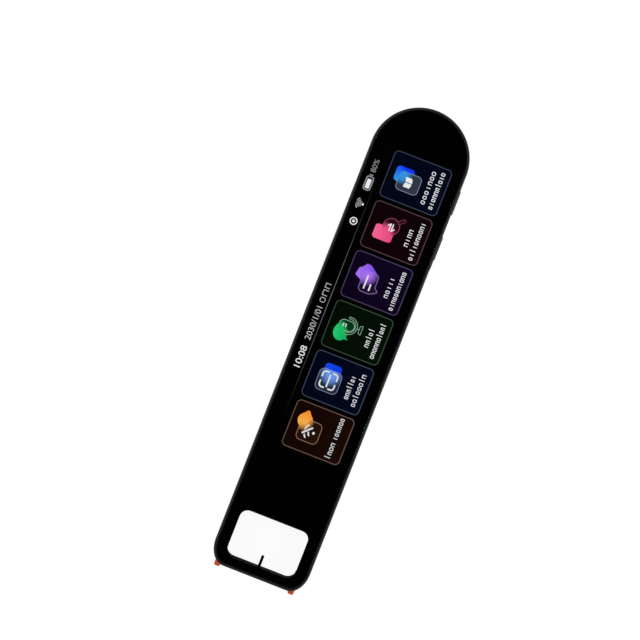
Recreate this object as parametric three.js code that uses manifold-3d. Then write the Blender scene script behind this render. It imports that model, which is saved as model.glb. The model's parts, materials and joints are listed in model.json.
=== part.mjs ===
// A scanning pen: a slim hand-held reader that photographs a line of print through a window in its tip
// and shows the words on a long touch screen.
// Millimetres. The pen lies on its back: +X is the key side, +Y the round end, +Z out of the screen.
// The origin is the middle of the flat back face.
import * as THREE from "three";
import { mergeVertices } from "three/addons/utils/BufferGeometryUtils.js";
import Module from "manifold-3d";

const wasm = await Module();
wasm.setup();

// Body: a bar with one round end, and a nearly square scanning tip with oval corners.
const bodyLength = 160;
const bodyWidth = 32.3;
const bodyDepth = 11;
const tipCornerAcross = 5.6;
const tipCornerAlong = 8;
const backEdgeRadius = 1.5;
const sideWall = 2.5;
const midplateThickness = 0.9;

// Cover glass, let into the front, with a thin rim of the body left round it.
const rimWidth = 0.8;
const rimDrop = 0.2;
const rimEdgeRound = 0.3;
const glassGap = 0.1;
const glassThickness = 1;
const glassEdgeRound = 0.2;

// Black print on the back of the glass, with a clear window at the tip and an aiming tick in it.
const printThickness = 0.1;
const windowToSide = 4.35;
const windowHeight = 16.3;
const windowToTip = 3.3;
const windowCorner = 2.9;
const tickWidth = 0.78;
const tickLength = 4.3;

// Screen: panel, backlight and steel tray, stacked under the print.
const screenToSide = 2.55;
const screenFromTop = 12.4;
const screenToWindow = 18;
const screenThickness = 0.9;
const screenCorner = 1;
const litMargin = 0.7;
const backlightThickness = 0.9;
const backlightInset = 0.1;
const traySheet = 0.2;
const trayGap = 0.1;
const trayClearance = 0.3;
const screenTailWidth = 8;
const screenTailLoop = 1.2;
const screenTailOnBoard = 7;
const tailSlotClearance = 0.3;
const flexThickness = 0.15;

// Back panel, let into the back of the body, with a hollow step round the window opening.
const panelThickness = 1.2;
const panelSideInset = 1.95;
const panelTopInset = 1.3;
const panelGroove = 0.2;
const stepDepth = 0.35;
const stepMargin = 1;
const panelOpeningMargin = 0.5;
const panelOpeningDrop = 0.55;
const panelTabToWindowSide = 3.8;
const panelTabDrop = 0.7;

// Camera deck: the raised island on the back, with the speaker grille and the camera ring.
const deckToSide = 5;
const deckFromTop = 4.6;
const deckBeyondCamera = 8.1;
const deckRise = 0.9;
const deckChamferLength = 7.5;
const deckChamferWidth = 6.1;
const deckShoulderRadius = 8;
const deckFootRadius = 3;
const deckGap = 0.15;
const deckFlange = 0.9;
const deckFlangeThickness = 0.5;
const deckEdgeRound = 0.35;

// Speaker grille: a block of round holes without its corners, over a pocket for the dust mesh.
const grilleToDeckSide = 5.4;
const grillePitchAcross = 1.95;
const grillePitchAlong = 1.6;
const grilleHoleRadius = 0.5;
const grilleWall = 1.2;
const grillePocketMargin = 0.9;
const meshThickness = 0.2;
const meshClearance = 0.15;
const gasketThickness = 0.5;
const gasketWidth = 1.8;
const speakerMargin = 2.3;
const speakerCorner = 2;
const speakerToCamera = 3.5;
const speakerToMicrophone = 0.45;

// Photo camera: metal ring, spun dial and cover lens on the deck, and the module behind them.
const cameraFromTop = 35.5;
const ringRadius = 5.3;
const ringBezel = 0.85;
const ringRise = 0.6;
const ringGap = 0.1;
const ringShelf = 0.75;
const ringFlange = 0.8;
const ringFlangeThickness = 0.4;
const ringEdgeRound = 0.25;
const lensRecess = 0.4;
const lensThickness = 0.6;
const lensClearance = 0.05;
const dialThickness = 0.2;
const dialHoleRadius = 1.1;
const moduleWidth = 8.5;
const moduleGap = 0.1;
const barrelRadius = 3.2;
const barrelReach = 1.8;
const pupilRadius = 1;
const pupilDepth = 0.6;

// Main board, under the round end, held to the midplate by four screws.
const boardThickness = 0.8;
const boardStandoff = 0.6;
const boardFromTop = 5.6;
const boardEnd = 63;
const boardKeyRoom = 1.75;
const postRadius = 1.6;
const screwHeadRadius = 1.2;
const screwHeadHeight = 0.4;
const screwRadius = 0.55;
const screwHoleRadius = 0.7;
const screwTipGap = 0.3;
const screwInset = 2.2;
const screwUpperFromTop = 30.5;
const screwLowerFromTop = 60;
const shieldHeight = 1.8;
const shieldSheet = 0.2;
const processorWidth = 15;
const processorToCamera = 5.75;
const processorLength = 11;
const radioToCamera = 2.45;
const radioFromTop = 33;
const radioLength = 9;
const radioFromEdge = 0.6;
const microphoneWidth = 2.2;
const microphoneHeight = 1.1;
const microphoneToSocket = 0.1;
const microphoneFromWall = 4.45;
const microphoneHoleRadius = 0.4;

// Charging socket in the round end.
const socketWidth = 8.94;
const socketHeight = 3.26;
const socketDepth = 7.35;
const socketRecess = 0.9;
const socketWall = 0.3;
const socketBack = 1;
const socketClearance = 0.3;
const tongueWidth = 6.6;
const tongueHeight = 0.7;
const tongueLength = 4.6;

// Side keys, each with a flange inside the wall and a switch on the board.
const powerKeyFromTop = 20.6;
const powerKeyLength = 8.3;
const functionKeyFromTop = 36.3;
const functionKeyLength = 11.7;
const functionKeyStepFromEnd = 3.7;
const functionKeyStepDrop = 0.22;
const keyHeight = 2.7;
const keyRise = 0.58;
const keyGap = 0.15;
const keyTravel = 0.35;
const keyFlange = 0.6;
const keyFlangeThickness = 0.8;
const keyFlangeGap = 0.15;
const keyEdgeRound = 0.2;
const switchLength = 4;
const switchHeight = 1.6;
const switchBody = 2.6;
const plungerLength = 1.6;
const plungerHeight = 0.8;
const plungerSlack = 0.05;

// Battery between the two boards.
const batteryEndGap = 3;
const batterySideGap = 1.45;
const batteryBackGap = 0.5;
const batteryCorner = 1.6;
const scanFlexWidth = 5;
const scanFlexOnBoard = 4.4;
const scanFlexLift = 0.2;
const scanFlexBend = 1.4;
const antennaWidth = 12;
const antennaLength = 9;
const antennaToDeck = 3.4;

// Scan well: the open space behind the tip window, lined on the back side by the press frame.
const wellSideMargin = 0.4;
const wellTipMargin = 0.1;
const wellHeadMargin = 0.1;
const wellWall = 2;

// Press frame: the orange frame whose two prongs stand out of the tip and slide in when pressed.
const frameTravel = 1;
const frameGap = 0.3;
const frameShow = 0.35;
const frameLeg = 0.8;
const frameHeight = 2.5;
const frameHeadInset = 0.4;
const frameCorner = 2.9;
const frameFaceDrop = 0.4;
const barThickness = 1.3;
const barSlope = 0.7;
const barStopWidth = 6.2;
const barStopReach = 0.45;
const prongWidth = 1.95;
const prongToSide = 3.35;
const prongTop = 5.4;
const prongReach = 2.1;
const prongHeight = 2.6;
const prongNose = 0.5;
const slotSideGap = 0.62;
const stemWidth = 1.6;
const stemHeight = 2.1;
const stemToFrameSide = 1.85;
const stemBeyondWall = 1.05;
const stemPinRadius = 0.5;
const stemPinLength = 0.9;
const triggerTabReach = 1.9;
const triggerTabThickness = 0.8;

// Springs that push the press frame out again.
const springRadius = 0.85;
const springWire = 0.18;
const springLength = 6;
const springCoils = 5;
const springSeatThickness = 1.5;
const springSeatSide = 0.35;

// Scan head: camera, two lights and the trigger switch on their own board, behind a shroud.
const scanBoardToSide = 4.45;
const scanBoardLength = 12.2;
const scanBoardToWall = 0.35;
const scanCameraWidth = 8.4;
const scanCameraLength = 8.1;
const scanCameraToPanel = 1.4;
const scanCameraFromEdge = 1.3;
const scanBarrelRadius = 1.9;
const scanBarrelGap = 0.35;
const scanLensRadius = 1.4;
const scanLensThickness = 0.6;
const scanLensClearance = 0.1;
const scanLensSeat = 0.2;
const shroudToWindowSide = 3.8;
const shroudClearance = 0.1;
const shroudPastBoard = 1.4;
const shroudApertureRadius = 2.2;
const shroudLightWidth = 2;
const shroudLightHeight = 2;
const lightToShroudSide = 1.8;
const lightBoardWidth = 2.6;
const lightBoardThickness = 0.6;
const lightLedSize = 1.5;
const lightLedReach = 0.5;
const lightToShroud = 0.4;
const triggerWidth = 1.4;
const triggerLength = 2.8;
const triggerPlungerReach = 0.25;
const triggerPlungerWidth = 0.8;
const scanScrewFromEdge = 1.5;
const scanScrewFromSide = 2.6;

// One overrun serves every cut. Steps are counts of straight pieces in a round stretch.
const overrun = 0.5;
const roundEndSteps = 32;
const cornerSteps = 6;
const smallSteps = 3;
const ringSteps = 36;
const holeSteps = 8;
const screwSteps = 10;
const springStepsPerCoil = 8;
const springSides = 5;

// Levels, from the glass face down to the back face, which is at zero.
const rimTop = bodyDepth - rimDrop;
const glassBack = bodyDepth - glassThickness;
const printBack = glassBack - printThickness;
const screenBack = printBack - screenThickness;
const backlightBack = screenBack - backlightThickness;
const midplateFront = backlightBack - traySheet;
const midplateBack = midplateFront - midplateThickness;
const boardFront = midplateBack - boardStandoff;
const boardBack = boardFront - boardThickness;
const scanBoardBack = midplateBack - boardThickness;
const deckFace = -deckRise;
const deckInner = panelThickness + deckFlangeThickness;
const ringFace = deckFace - ringRise;

// Places along the pen, and half widths across it.
const topEnd = bodyLength / 2;
const tipEnd = -topEnd;
const bodyHalf = bodyWidth / 2;
const cavityHalf = bodyHalf - sideWall;
const windowHalf = bodyHalf - windowToSide;
const windowBottom = tipEnd + windowToTip;
const windowTop = windowBottom + windowHeight;
const wellHalf = windowHalf + wellSideMargin;
const wellBottom = windowBottom - wellTipMargin;
const wellTop = windowTop - wellHeadMargin;
const panelOpeningHalf = windowHalf + panelOpeningMargin;
const panelTabHalf = windowHalf - panelTabToWindowSide;
const panelOpeningTop = windowTop - panelOpeningDrop;
const frameInnerHalf = panelOpeningHalf - frameShow;
const frameOuterHalf = frameInnerHalf + frameLeg;
const frameInnerTop = panelOpeningTop - frameHeadInset;
const frameOuterTop = frameInnerTop + frameLeg;
const frameBack = panelThickness + frameGap;
const frameFront = frameBack + frameHeight;
const barInner = wellBottom - wellTipMargin;
const barOuter = barInner - barThickness;
const lipInner = barOuter - barStopReach - frameGap;
const frameRoomHalf = frameOuterHalf + frameGap;
const frameRoomTop = frameOuterTop + frameTravel + frameGap;
const frameRoomFront = frameFront + frameGap;
const cavityEnd = frameRoomTop + wellWall;
const prongTopEnd = tipEnd + prongTop;
const slotTop = prongTopEnd + frameTravel + frameGap;
const prongMiddle = bodyHalf - prongToSide;
const slotInner = prongMiddle - prongWidth / 2 - slotSideGap;
const slotOuter = prongMiddle + prongWidth / 2 + slotSideGap;
const slotFront = frameFaceDrop + prongHeight + frameGap;
const stemSide = frameOuterHalf - stemToFrameSide;
const stemEnd = cavityEnd + stemBeyondWall;
const stemMiddle = frameBack + stemHeight / 2;
const springSeatFace = stemEnd + springLength;
const scanBoardHalf = cavityHalf - scanBoardToSide;
const scanBoardEnd = cavityEnd + scanBoardToWall;
const scanBoardTop = scanBoardEnd + scanBoardLength;
const shroudHalf = windowHalf - shroudToWindowSide;
const lightSide = shroudHalf - lightToShroudSide;
const shroudFront = scanBoardBack + shroudPastBoard;
const scanCameraBack = panelThickness + scanCameraToPanel;
const boardHalf = cavityHalf - boardKeyRoom;
const batteryTop = topEnd - boardEnd - batteryEndGap;
const batteryBottom = scanBoardTop + batteryEndGap;
const cameraY = topEnd - cameraFromTop;
const moduleTop = cameraY + moduleWidth / 2;
const moduleBottom = cameraY - moduleWidth / 2;
const deckHalf = bodyHalf - deckToSide;
const deckTop = topEnd - deckFromTop;
const deckBottom = cameraY - deckBeyondCamera;
const grilleSideColumns = Math.floor((deckHalf - grilleToDeckSide) / grillePitchAcross);
const grilleColumns = 2 * grilleSideColumns + 1;
const microphoneSeat = cavityHalf - microphoneFromWall;
const microphoneSide = socketWidth / 2 + microphoneToSocket + microphoneWidth / 2;
const microphoneAngle = Math.asin(microphoneSide / microphoneSeat);
const microphoneY = topEnd - bodyHalf + microphoneSeat * Math.cos(microphoneAngle);
const keyMiddle = boardBack - switchHeight / 2;
const keyFlangeOuter = cavityHalf - keyFlangeGap;
const keyFlangeInner = keyFlangeOuter - keyFlangeThickness;
const screenHalf = bodyHalf - screenToSide;
const screenTop = topEnd - screenFromTop;
const screenBottom = windowTop + screenToWindow;

// Outlines are lists of points in one plane, anticlockwise.
const point = (x, y) => new THREE.Vector2(x, y);

// Points of an oval arc from one angle to another, both ends included.
function arcPoints(middle, across, along, from, to, steps) {
  const points = [];
  for (let i = 0; i <= steps; i++) {
    const angle = from + ((to - from) * i) / steps;
    points.push(point(middle.x + across * Math.cos(angle), middle.y + along * Math.sin(angle)));
  }
  return points;
}

// A polygon whose corners are rounded, each with its own radius: corner = [x, y, radius].
function rounded(corners, steps) {
  return corners.flatMap(([x, y, radius], i) => {
    if (radius === 0) return [point(x, y)];
    const at = point(x, y);
    const before = corners[(i + corners.length - 1) % corners.length];
    const after = corners[(i + 1) % corners.length];
    const back = point(before[0], before[1]).sub(at).normalize();
    const ahead = point(after[0], after[1]).sub(at).normalize();
    const half = Math.acos(back.dot(ahead)) / 2;
    const centreWay = back.clone().add(ahead).normalize();
    const middle = at.clone().addScaledVector(centreWay, radius / Math.sin(half));
    const start = at.clone().addScaledVector(back, radius / Math.tan(half)).sub(middle);
    const turn = Math.PI - 2 * half;
    const side = Math.sign(ahead.clone().cross(back));
    return arcPoints(middle, radius, radius, start.angle(), start.angle() + side * turn, steps);
  });
}

// A rectangle with four like corners.
function box2(left, right, low, high, radius = 0, steps = cornerSteps) {
  return rounded(
    [
      [left, low, radius],
      [right, low, radius],
      [right, high, radius],
      [left, high, radius],
    ],
    steps,
  );
}

// The pen's own outline, drawn in by a margin.
function penOutline(inset) {
  const half = bodyHalf - inset;
  const low = tipEnd + inset;
  const across = tipCornerAcross - inset;
  const along = tipCornerAlong - inset;
  const quarter = Math.PI / 2;
  return [
    ...arcPoints(point(0, topEnd - bodyHalf), half, half, 0, 2 * quarter, roundEndSteps),
    ...arcPoints(point(across - half, low + along), across, along, 2 * quarter, 3 * quarter, cornerSteps),
    ...arcPoints(point(half - across, low + along), across, along, 3 * quarter, 4 * quarter, cornerSteps),
  ];
}

// The back panel's outline, which lies a little nearer the edge at the round end than at the sides.
function panelOutline(inset, low) {
  const half = bodyHalf - panelSideInset - inset;
  const top = topEnd - panelTopInset - inset;
  return [
    point(-half, low),
    point(half, low),
    ...arcPoints(point(0, top - half), half, half, 0, Math.PI, roundEndSteps),
  ];
}

// The camera deck's outline: a round head and a foot with two slanted shoulders.
function deckOutline(inset) {
  const half = deckHalf - inset;
  const flat = deckHalf - deckChamferWidth - inset / 2;
  const top = deckTop - inset;
  const low = deckBottom + inset;
  const shoulder = deckBottom + deckChamferLength;
  return [
    ...arcPoints(point(0, top - half), half, half, 0, Math.PI, roundEndSteps),
    ...rounded(
      [
        [half, top, 0],
        [-half, top, 0],
        [-half, shoulder, deckShoulderRadius],
        [-flat, low, deckFootRadius],
        [flat, low, deckFootRadius],
        [half, shoulder, deckShoulderRadius],
      ],
      cornerSteps,
    ).slice(2),
  ];
}

// A closed geometry as a solid that can be joined and cut.
function solidOf(geometry) {
  const bare = geometry.clone();
  bare.deleteAttribute("normal");
  bare.deleteAttribute("uv");
  const merged = mergeVertices(bare);
  return new wasm.Manifold(
    new wasm.Mesh({
      numProp: 3,
      vertProperties: merged.attributes.position.array,
      triVerts: new Uint32Array(merged.index.array),
    }),
  );
}

// The directions of an outline's two axes and of its thickness, for an outline seen along each axis.
const along = {
  x: [new THREE.Vector3(0, 1, 0), new THREE.Vector3(0, 0, 1), new THREE.Vector3(1, 0, 0)],
  y: [new THREE.Vector3(0, 0, 1), new THREE.Vector3(1, 0, 0), new THREE.Vector3(0, 1, 0)],
  z: [new THREE.Vector3(1, 0, 0), new THREE.Vector3(0, 1, 0), new THREE.Vector3(0, 0, 1)],
};

// An outline given thickness between two places on an axis. Outlines are (y, z), (z, x) or (x, y).
function prism(outline, from, to, axis = "z") {
  const geometry = new THREE.ExtrudeGeometry(new THREE.Shape(outline), {
    depth: to - from,
    bevelEnabled: false,
  });
  geometry.translate(0, 0, from);
  geometry.applyMatrix4(new THREE.Matrix4().makeBasis(...along[axis]));
  return solidOf(geometry);
}

// A block between two places on each axis.
function block(x0, x1, y0, y1, z0, z1) {
  const geometry = new THREE.BoxGeometry(x1 - x0, y1 - y0, z1 - z0);
  geometry.translate((x0 + x1) / 2, (y0 + y1) / 2, (z0 + z1) / 2);
  return solidOf(geometry);
}

// A round bar between two places on an axis, centred at (a, b) in that axis's outline plane.
function bar(radius, a, b, from, to, axis = "z", steps = screwSteps) {
  return prism(arcPoints(point(a, b), radius, radius, 0, 2 * Math.PI, steps).slice(1), from, to, axis);
}

// A solid skinned over a stack of outlines that have as many points each: levels = [[outline, z], ...].
function stack(levels) {
  const count = levels[0][0].length;
  const positions = levels.flatMap(([outline, z]) => outline.flatMap((p) => [p.x, p.y, z]));
  const faces = [];
  levels.slice(1).forEach((level, ring) => {
    for (let i = 0; i < count; i++) {
      const next = (i + 1) % count;
      const low = ring * count;
      const high = low + count;
      faces.push(low + i, low + next, high + next, low + i, high + next, high + i);
    }
  });
  const last = (levels.length - 1) * count;
  for (const [a, b, c] of THREE.ShapeUtils.triangulateShape(levels[0][0], [])) faces.push(a, c, b);
  for (const [a, b, c] of THREE.ShapeUtils.triangulateShape(levels.at(-1)[0], [])) {
    faces.push(last + a, last + b, last + c);
  }
  const geometry = new THREE.BufferGeometry();
  geometry.setAttribute("position", new THREE.Float32BufferAttribute(positions, 3));
  geometry.setIndex(faces);
  return solidOf(geometry);
}

// A turned piece: profile = [radius, z] points from the axis and back to it, or a closed ring.
function turned(profile, middleY, steps = ringSteps) {
  const geometry = new THREE.LatheGeometry(
    profile.map(([radius, z]) => point(radius, z)),
    steps,
  );
  geometry.rotateX(Math.PI / 2);
  geometry.translate(0, middleY, 0);
  const made = solidOf(geometry);
  if (made.volume() > 0) return made;
  const flipped = mergeVertices(geometry.deleteAttribute("normal").deleteAttribute("uv"));
  flipped.setIndex([...flipped.index.array].reverse());
  return solidOf(flipped);
}

// A coil of wire along Y as one tube.
function coil(x, z, from, length) {
  const steps = springCoils * springStepsPerCoil;
  const positions = [];
  const faces = [];
  for (let i = 0; i <= steps; i++) {
    const turn = (2 * Math.PI * i) / springStepsPerCoil;
    const y = from + springWire + ((length - 2 * springWire) * i) / steps;
    for (let j = 0; j < springSides; j++) {
      const roll = (2 * Math.PI * j) / springSides;
      const radius = springRadius + springWire * Math.cos(roll);
      const rise = springWire * Math.sin(roll);
      positions.push(x + radius * Math.cos(turn), y + rise, z + radius * Math.sin(turn));
    }
  }
  for (let i = 0; i < steps; i++) {
    for (let j = 0; j < springSides; j++) {
      const a = i * springSides + j;
      const b = i * springSides + ((j + 1) % springSides);
      faces.push(a, b + springSides, a + springSides, a, b, b + springSides);
    }
  }
  const end = steps * springSides;
  for (let j = 1; j < springSides - 1; j++) {
    faces.push(0, j + 1, j);
    faces.push(end, end + j, end + j + 1);
  }
  const geometry = new THREE.BufferGeometry();
  geometry.setAttribute("position", new THREE.Float32BufferAttribute(positions, 3));
  geometry.setIndex(faces);
  return solidOf(geometry);
}

// A flat ribbon: a run of [y, z] points on one edge, and the thickness to its left as it goes.
function ribbon(run, width) {
  const other = run.map(([y, z], i) => {
    const [y0, z0] = run[Math.max(i - 1, 0)];
    const [y1, z1] = run[Math.min(i + 1, run.length - 1)];
    const into = i > 0 ? point(y - y0, z - z0).normalize() : point(0, 0);
    const out = i < run.length - 1 ? point(y1 - y, z1 - z).normalize() : point(0, 0);
    return point(y - (into.y + out.y) * flexThickness, z + (into.x + out.x) * flexThickness);
  });
  const outline = [...run.map(([y, z]) => point(y, z)), ...other.reverse()];
  return prism(outline, -width / 2, width / 2, "x");
}

// The body shell: walls, midplate, seats for the glass and the back panel, and the scan well.
function housing() {
  const quarterTurns = [0, 1, 2, 3].map((i) => (i * Math.PI) / 6);
  const levels = quarterTurns.map((angle) => [
    penOutline(backEdgeRadius * (1 - Math.sin(angle))),
    backEdgeRadius * (1 - Math.cos(angle)),
  ]);
  levels.push([penOutline(0), rimTop - rimEdgeRound], [penOutline(rimEdgeRound), rimTop]);
  const cavityOutline = [
    point(-cavityHalf, cavityEnd),
    point(cavityHalf, cavityEnd),
    ...arcPoints(point(0, topEnd - bodyHalf), cavityHalf, cavityHalf, 0, Math.PI, roundEndSteps),
  ];
  const screenRoom = screenHalf + trayGap + traySheet + trayClearance - backlightInset;
  const roomTop = screenTop + trayGap + traySheet + trayClearance - backlightInset;
  const roomBottom = screenBottom - trayGap - traySheet - trayClearance + backlightInset;
  const tailHalf = screenTailWidth / 2 + tailSlotClearance;
  const tailTop = screenTop + screenTailLoop + flexThickness + tailSlotClearance;
  let shell = stack(levels)
    .subtract(prism(penOutline(rimWidth), printBack, bodyDepth + overrun))
    .subtract(prism(box2(-screenRoom, screenRoom, roomBottom, roomTop), midplateFront, bodyDepth))
    .subtract(prism(cavityOutline, -overrun, midplateBack))
    .subtract(prism(panelOutline(0, slotTop), -overrun, panelThickness))
    .subtract(block(-tailHalf, tailHalf, roomTop - overrun, tailTop, boardFront, printBack + overrun))
    .add(springSeats())
    .add(boardPosts());
  shell = shell
    .subtract(screwHoles())
    .subtract(scanWell())
    .subtract(shroudOpening())
    .subtract(socketOpening())
    .subtract(microphoneHole())
    .subtract(keySlot(powerKeyFromTop, powerKeyLength))
    .subtract(keySlot(functionKeyFromTop, functionKeyLength));
  return shell;
}

// Blocks under the midplate that the two frame springs push against.
function springSeats() {
  const half = springRadius + springWire + springSeatSide;
  const sides = [-1, 1].map((side) => {
    const x = side * stemSide;
    const top = springSeatFace + springSeatThickness;
    return block(x - half, x + half, springSeatFace, top, panelThickness + frameGap, midplateFront);
  });
  return sides[0].add(sides[1]);
}

// Screw places: four on the main board, as [x, y].
const boardScrewX = boardHalf - screwInset;
const boardScrews = [screwUpperFromTop, screwLowerFromTop].flatMap((fromTop) =>
  [-boardScrewX, boardScrewX].map((x) => [x, topEnd - fromTop]),
);
const scanScrewX = scanBoardHalf - scanScrewFromSide;
const scanScrews = [-scanScrewX, scanScrewX].map((x) => [x, scanBoardTop - scanScrewFromEdge]);

function boardPosts() {
  const posts = boardScrews.map(([x, y]) => bar(postRadius, x, y, boardFront, midplateFront));
  return posts.reduce((whole, post) => whole.add(post));
}

function screwHoles() {
  const holes = [
    ...boardScrews.map(([x, y]) => screwHole(x, y, boardFront)),
    ...scanScrews.map(([x, y]) => screwHole(x, y, midplateBack)),
  ];
  return holes.reduce((whole, hole) => whole.add(hole));
}

// A blind hole that stops short of the screen.
function screwHole(x, y, mouth) {
  return bar(screwHoleRadius, x, y, mouth - overrun, midplateFront - screwTipGap / 2);
}

// The well behind the window, the room that the press frame slides in, and the prongs' two slots.
function scanWell() {
  const well = prism(
    box2(-wellHalf, wellHalf, wellBottom, wellTop, windowCorner),
    -overrun,
    printBack + overrun,
  );
  const room = prism(
    box2(-frameRoomHalf, frameRoomHalf, lipInner, frameRoomTop, frameCorner),
    -overrun,
    frameRoomFront,
  );
  const squareFoot = block(
    -frameRoomHalf,
    frameRoomHalf,
    lipInner,
    slotTop,
    -overrun,
    frameRoomFront,
  );
  const channelHalf = stemWidth / 2 + frameGap;
  const channelFront = frameBack + stemHeight + frameGap;
  let hollow = well.add(room).add(squareFoot);
  for (const side of [-1, 1]) {
    const x = side * stemSide;
    const slots = [side * slotInner, side * slotOuter].sort((a, b) => a - b);
    const channel = block(
      x - channelHalf,
      x + channelHalf,
      frameRoomTop - overrun,
      cavityEnd + overrun,
      0,
      channelFront,
    );
    hollow = hollow
      .add(block(slots[0], slots[1], tipEnd - overrun, slotTop, -overrun, slotFront))
      .add(channel);
  }
  return hollow;
}

function shroudOpening() {
  const half = shroudHalf + shroudClearance;
  return block(-half, half, wellTop - overrun, cavityEnd + overrun, 0, shroudFront + shroudClearance);
}

function socketOutline(inset) {
  const half = socketWidth / 2 - inset;
  const middle = boardBack - socketHeight / 2;
  const tall = socketHeight / 2 - inset;
  return box2(middle - tall, middle + tall, -half, half, tall, smallSteps);
}

// The socket's hole starts where the round wall's inner face meets the socket's side.
function socketOpening() {
  const half = socketWidth / 2 + socketClearance;
  const wallInner = topEnd - bodyHalf + Math.sqrt(cavityHalf ** 2 - half ** 2);
  return prism(socketOutline(-socketClearance), wallInner - overrun, topEnd + overrun, "y");
}

function microphoneHole() {
  const reach = sideWall + 2 * overrun;
  const geometry = new THREE.CylinderGeometry(
    microphoneHoleRadius,
    microphoneHoleRadius,
    reach,
    holeSteps,
  );
  geometry.translate(0, cavityHalf + sideWall / 2, 0);
  geometry.rotateZ(-microphoneAngle);
  geometry.translate(0, topEnd - bodyHalf, boardBack - microphoneHeight / 2);
  return solidOf(geometry);
}

// A key's cap outline in (y, z), grown or drawn in by a margin.
function keyOutline(fromTop, length, margin) {
  const high = topEnd - fromTop + margin;
  const low = topEnd - fromTop - length - margin;
  const half = keyHeight / 2 + margin;
  return box2(low, high, keyMiddle - half, keyMiddle + half, half, smallSteps);
}

function keySlot(fromTop, length) {
  return prism(keyOutline(fromTop, length, keyGap), cavityHalf - overrun, bodyHalf + overrun, "x");
}

// A key: its cap, with a slightly smaller face, and the flange that keeps it in the wall.
function key(fromTop, length) {
  const face = bodyHalf + keyRise;
  return prism(keyOutline(fromTop, length, 0), keyFlangeInner, face - keyEdgeRound, "x")
    .add(prism(keyOutline(fromTop, length, -keyEdgeRound), keyFlangeInner, face, "x"))
    .add(prism(keyOutline(fromTop, length, keyFlange), keyFlangeInner, keyFlangeOuter, "x"));
}

// The function key's lower end stands a little lower than the rest of it.
function functionKey() {
  const stepTop = topEnd - functionKeyFromTop - functionKeyLength + functionKeyStepFromEnd;
  const face = bodyHalf + keyRise;
  return key(functionKeyFromTop, functionKeyLength).subtract(
    block(
      face - functionKeyStepDrop,
      face + overrun,
      stepTop - functionKeyLength,
      stepTop,
      keyMiddle - keyHeight,
      keyMiddle + keyHeight,
    ),
  );
}

// A side switch on the board, its plunger just clear of the pressed key.
function keySwitch(fromTop, length) {
  const y = topEnd - fromTop - length / 2;
  const tip = keyFlangeInner - keyTravel - plungerSlack;
  const low = keyMiddle - plungerHeight / 2;
  return block(
    boardHalf - switchBody,
    boardHalf,
    y - switchLength / 2,
    y + switchLength / 2,
    boardBack - switchHeight,
    boardBack,
  ).add(
    block(
      boardHalf - overrun,
      tip,
      y - plungerLength / 2,
      y + plungerLength / 2,
      low,
      low + plungerHeight,
    ),
  );
}

function coverGlass() {
  const inset = rimWidth + glassGap;
  return stack([
    [penOutline(inset), glassBack],
    [penOutline(inset), bodyDepth - glassEdgeRound],
    [penOutline(inset + glassEdgeRound), bodyDepth],
  ]);
}

function bezelPrint() {
  const litHalf = screenHalf - litMargin;
  const lit = box2(-litHalf, litHalf, screenBottom + litMargin, screenTop - litMargin, screenCorner);
  const clear = box2(-windowHalf, windowHalf, windowBottom, windowTop, windowCorner);
  const tickHalf = tickWidth / 2;
  const tick = rounded(
    [
      [-tickHalf, windowBottom - overrun, 0],
      [tickHalf, windowBottom - overrun, 0],
      [tickHalf, windowBottom + tickLength, tickHalf],
      [-tickHalf, windowBottom + tickLength, tickHalf],
    ],
    smallSteps,
  );
  return prism(penOutline(rimWidth + glassGap), printBack, glassBack)
    .subtract(prism(lit, printBack - overrun, glassBack + overrun))
    .subtract(prism(clear, printBack - overrun, glassBack + overrun))
    .add(prism(tick, printBack, glassBack));
}

function screenPanel() {
  const outline = box2(-screenHalf, screenHalf, screenBottom, screenTop);
  return prism(outline, screenBack, printBack);
}

function backlight() {
  const half = screenHalf - backlightInset;
  return block(
    -half,
    half,
    screenBottom + backlightInset,
    screenTop - backlightInset,
    backlightBack,
    screenBack,
  );
}

function screenTray() {
  const inner = trayGap - backlightInset;
  const outer = inner + traySheet;
  const whole = block(
    -screenHalf - outer,
    screenHalf + outer,
    screenBottom - outer,
    screenTop + outer,
    midplateFront,
    screenBack - trayGap,
  );
  return whole.subtract(
    block(
      -screenHalf - inner,
      screenHalf + inner,
      screenBottom - inner,
      screenTop + inner,
      backlightBack,
      screenBack + overrun,
    ),
  );
}

// The screen's ribbon, which loops over its upper edge and lands on the front of the main board.
function screenTail() {
  const level = screenBack + screenThickness / 4;
  const turnY = screenTop + screenTailLoop;
  return ribbon(
    [
      [screenTop, level],
      [turnY, level],
      [turnY, boardFront],
      [turnY - screenTailOnBoard, boardFront],
    ].reverse(),
    screenTailWidth,
  );
}

// The back panel: the flat back, open for the camera deck and for the scan well.
function backPanel() {
  const low = slotTop + panelGroove;
  const half = panelOpeningHalf;
  const opening = rounded(
    [
      [-half, low - overrun, 0],
      [half, low - overrun, 0],
      [half, panelOpeningTop, windowCorner],
      [-half, panelOpeningTop, windowCorner],
    ],
    cornerSteps,
  );
  const tab = block(
    -panelTabHalf,
    panelTabHalf,
    panelOpeningTop - panelTabDrop,
    panelOpeningTop + overrun,
    -overrun,
    panelThickness + overrun,
  );
  const stepHalf = half + stepMargin;
  const stepTop = panelOpeningTop + stepMargin;
  const step = rounded(
    [
      [-stepHalf, low - overrun, 0],
      [stepHalf, low - overrun, 0],
      [stepHalf, stepTop, windowCorner + stepMargin],
      [-stepHalf, stepTop, windowCorner + stepMargin],
    ],
    cornerSteps,
  );
  return prism(panelOutline(panelGroove, low), 0, panelThickness)
    .subtract(prism(opening, -overrun, panelThickness + overrun).subtract(tab))
    .subtract(prism(step, -overrun, stepDepth))
    .subtract(prism(deckOutline(-deckGap), -overrun, panelThickness + overrun));
}

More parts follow.
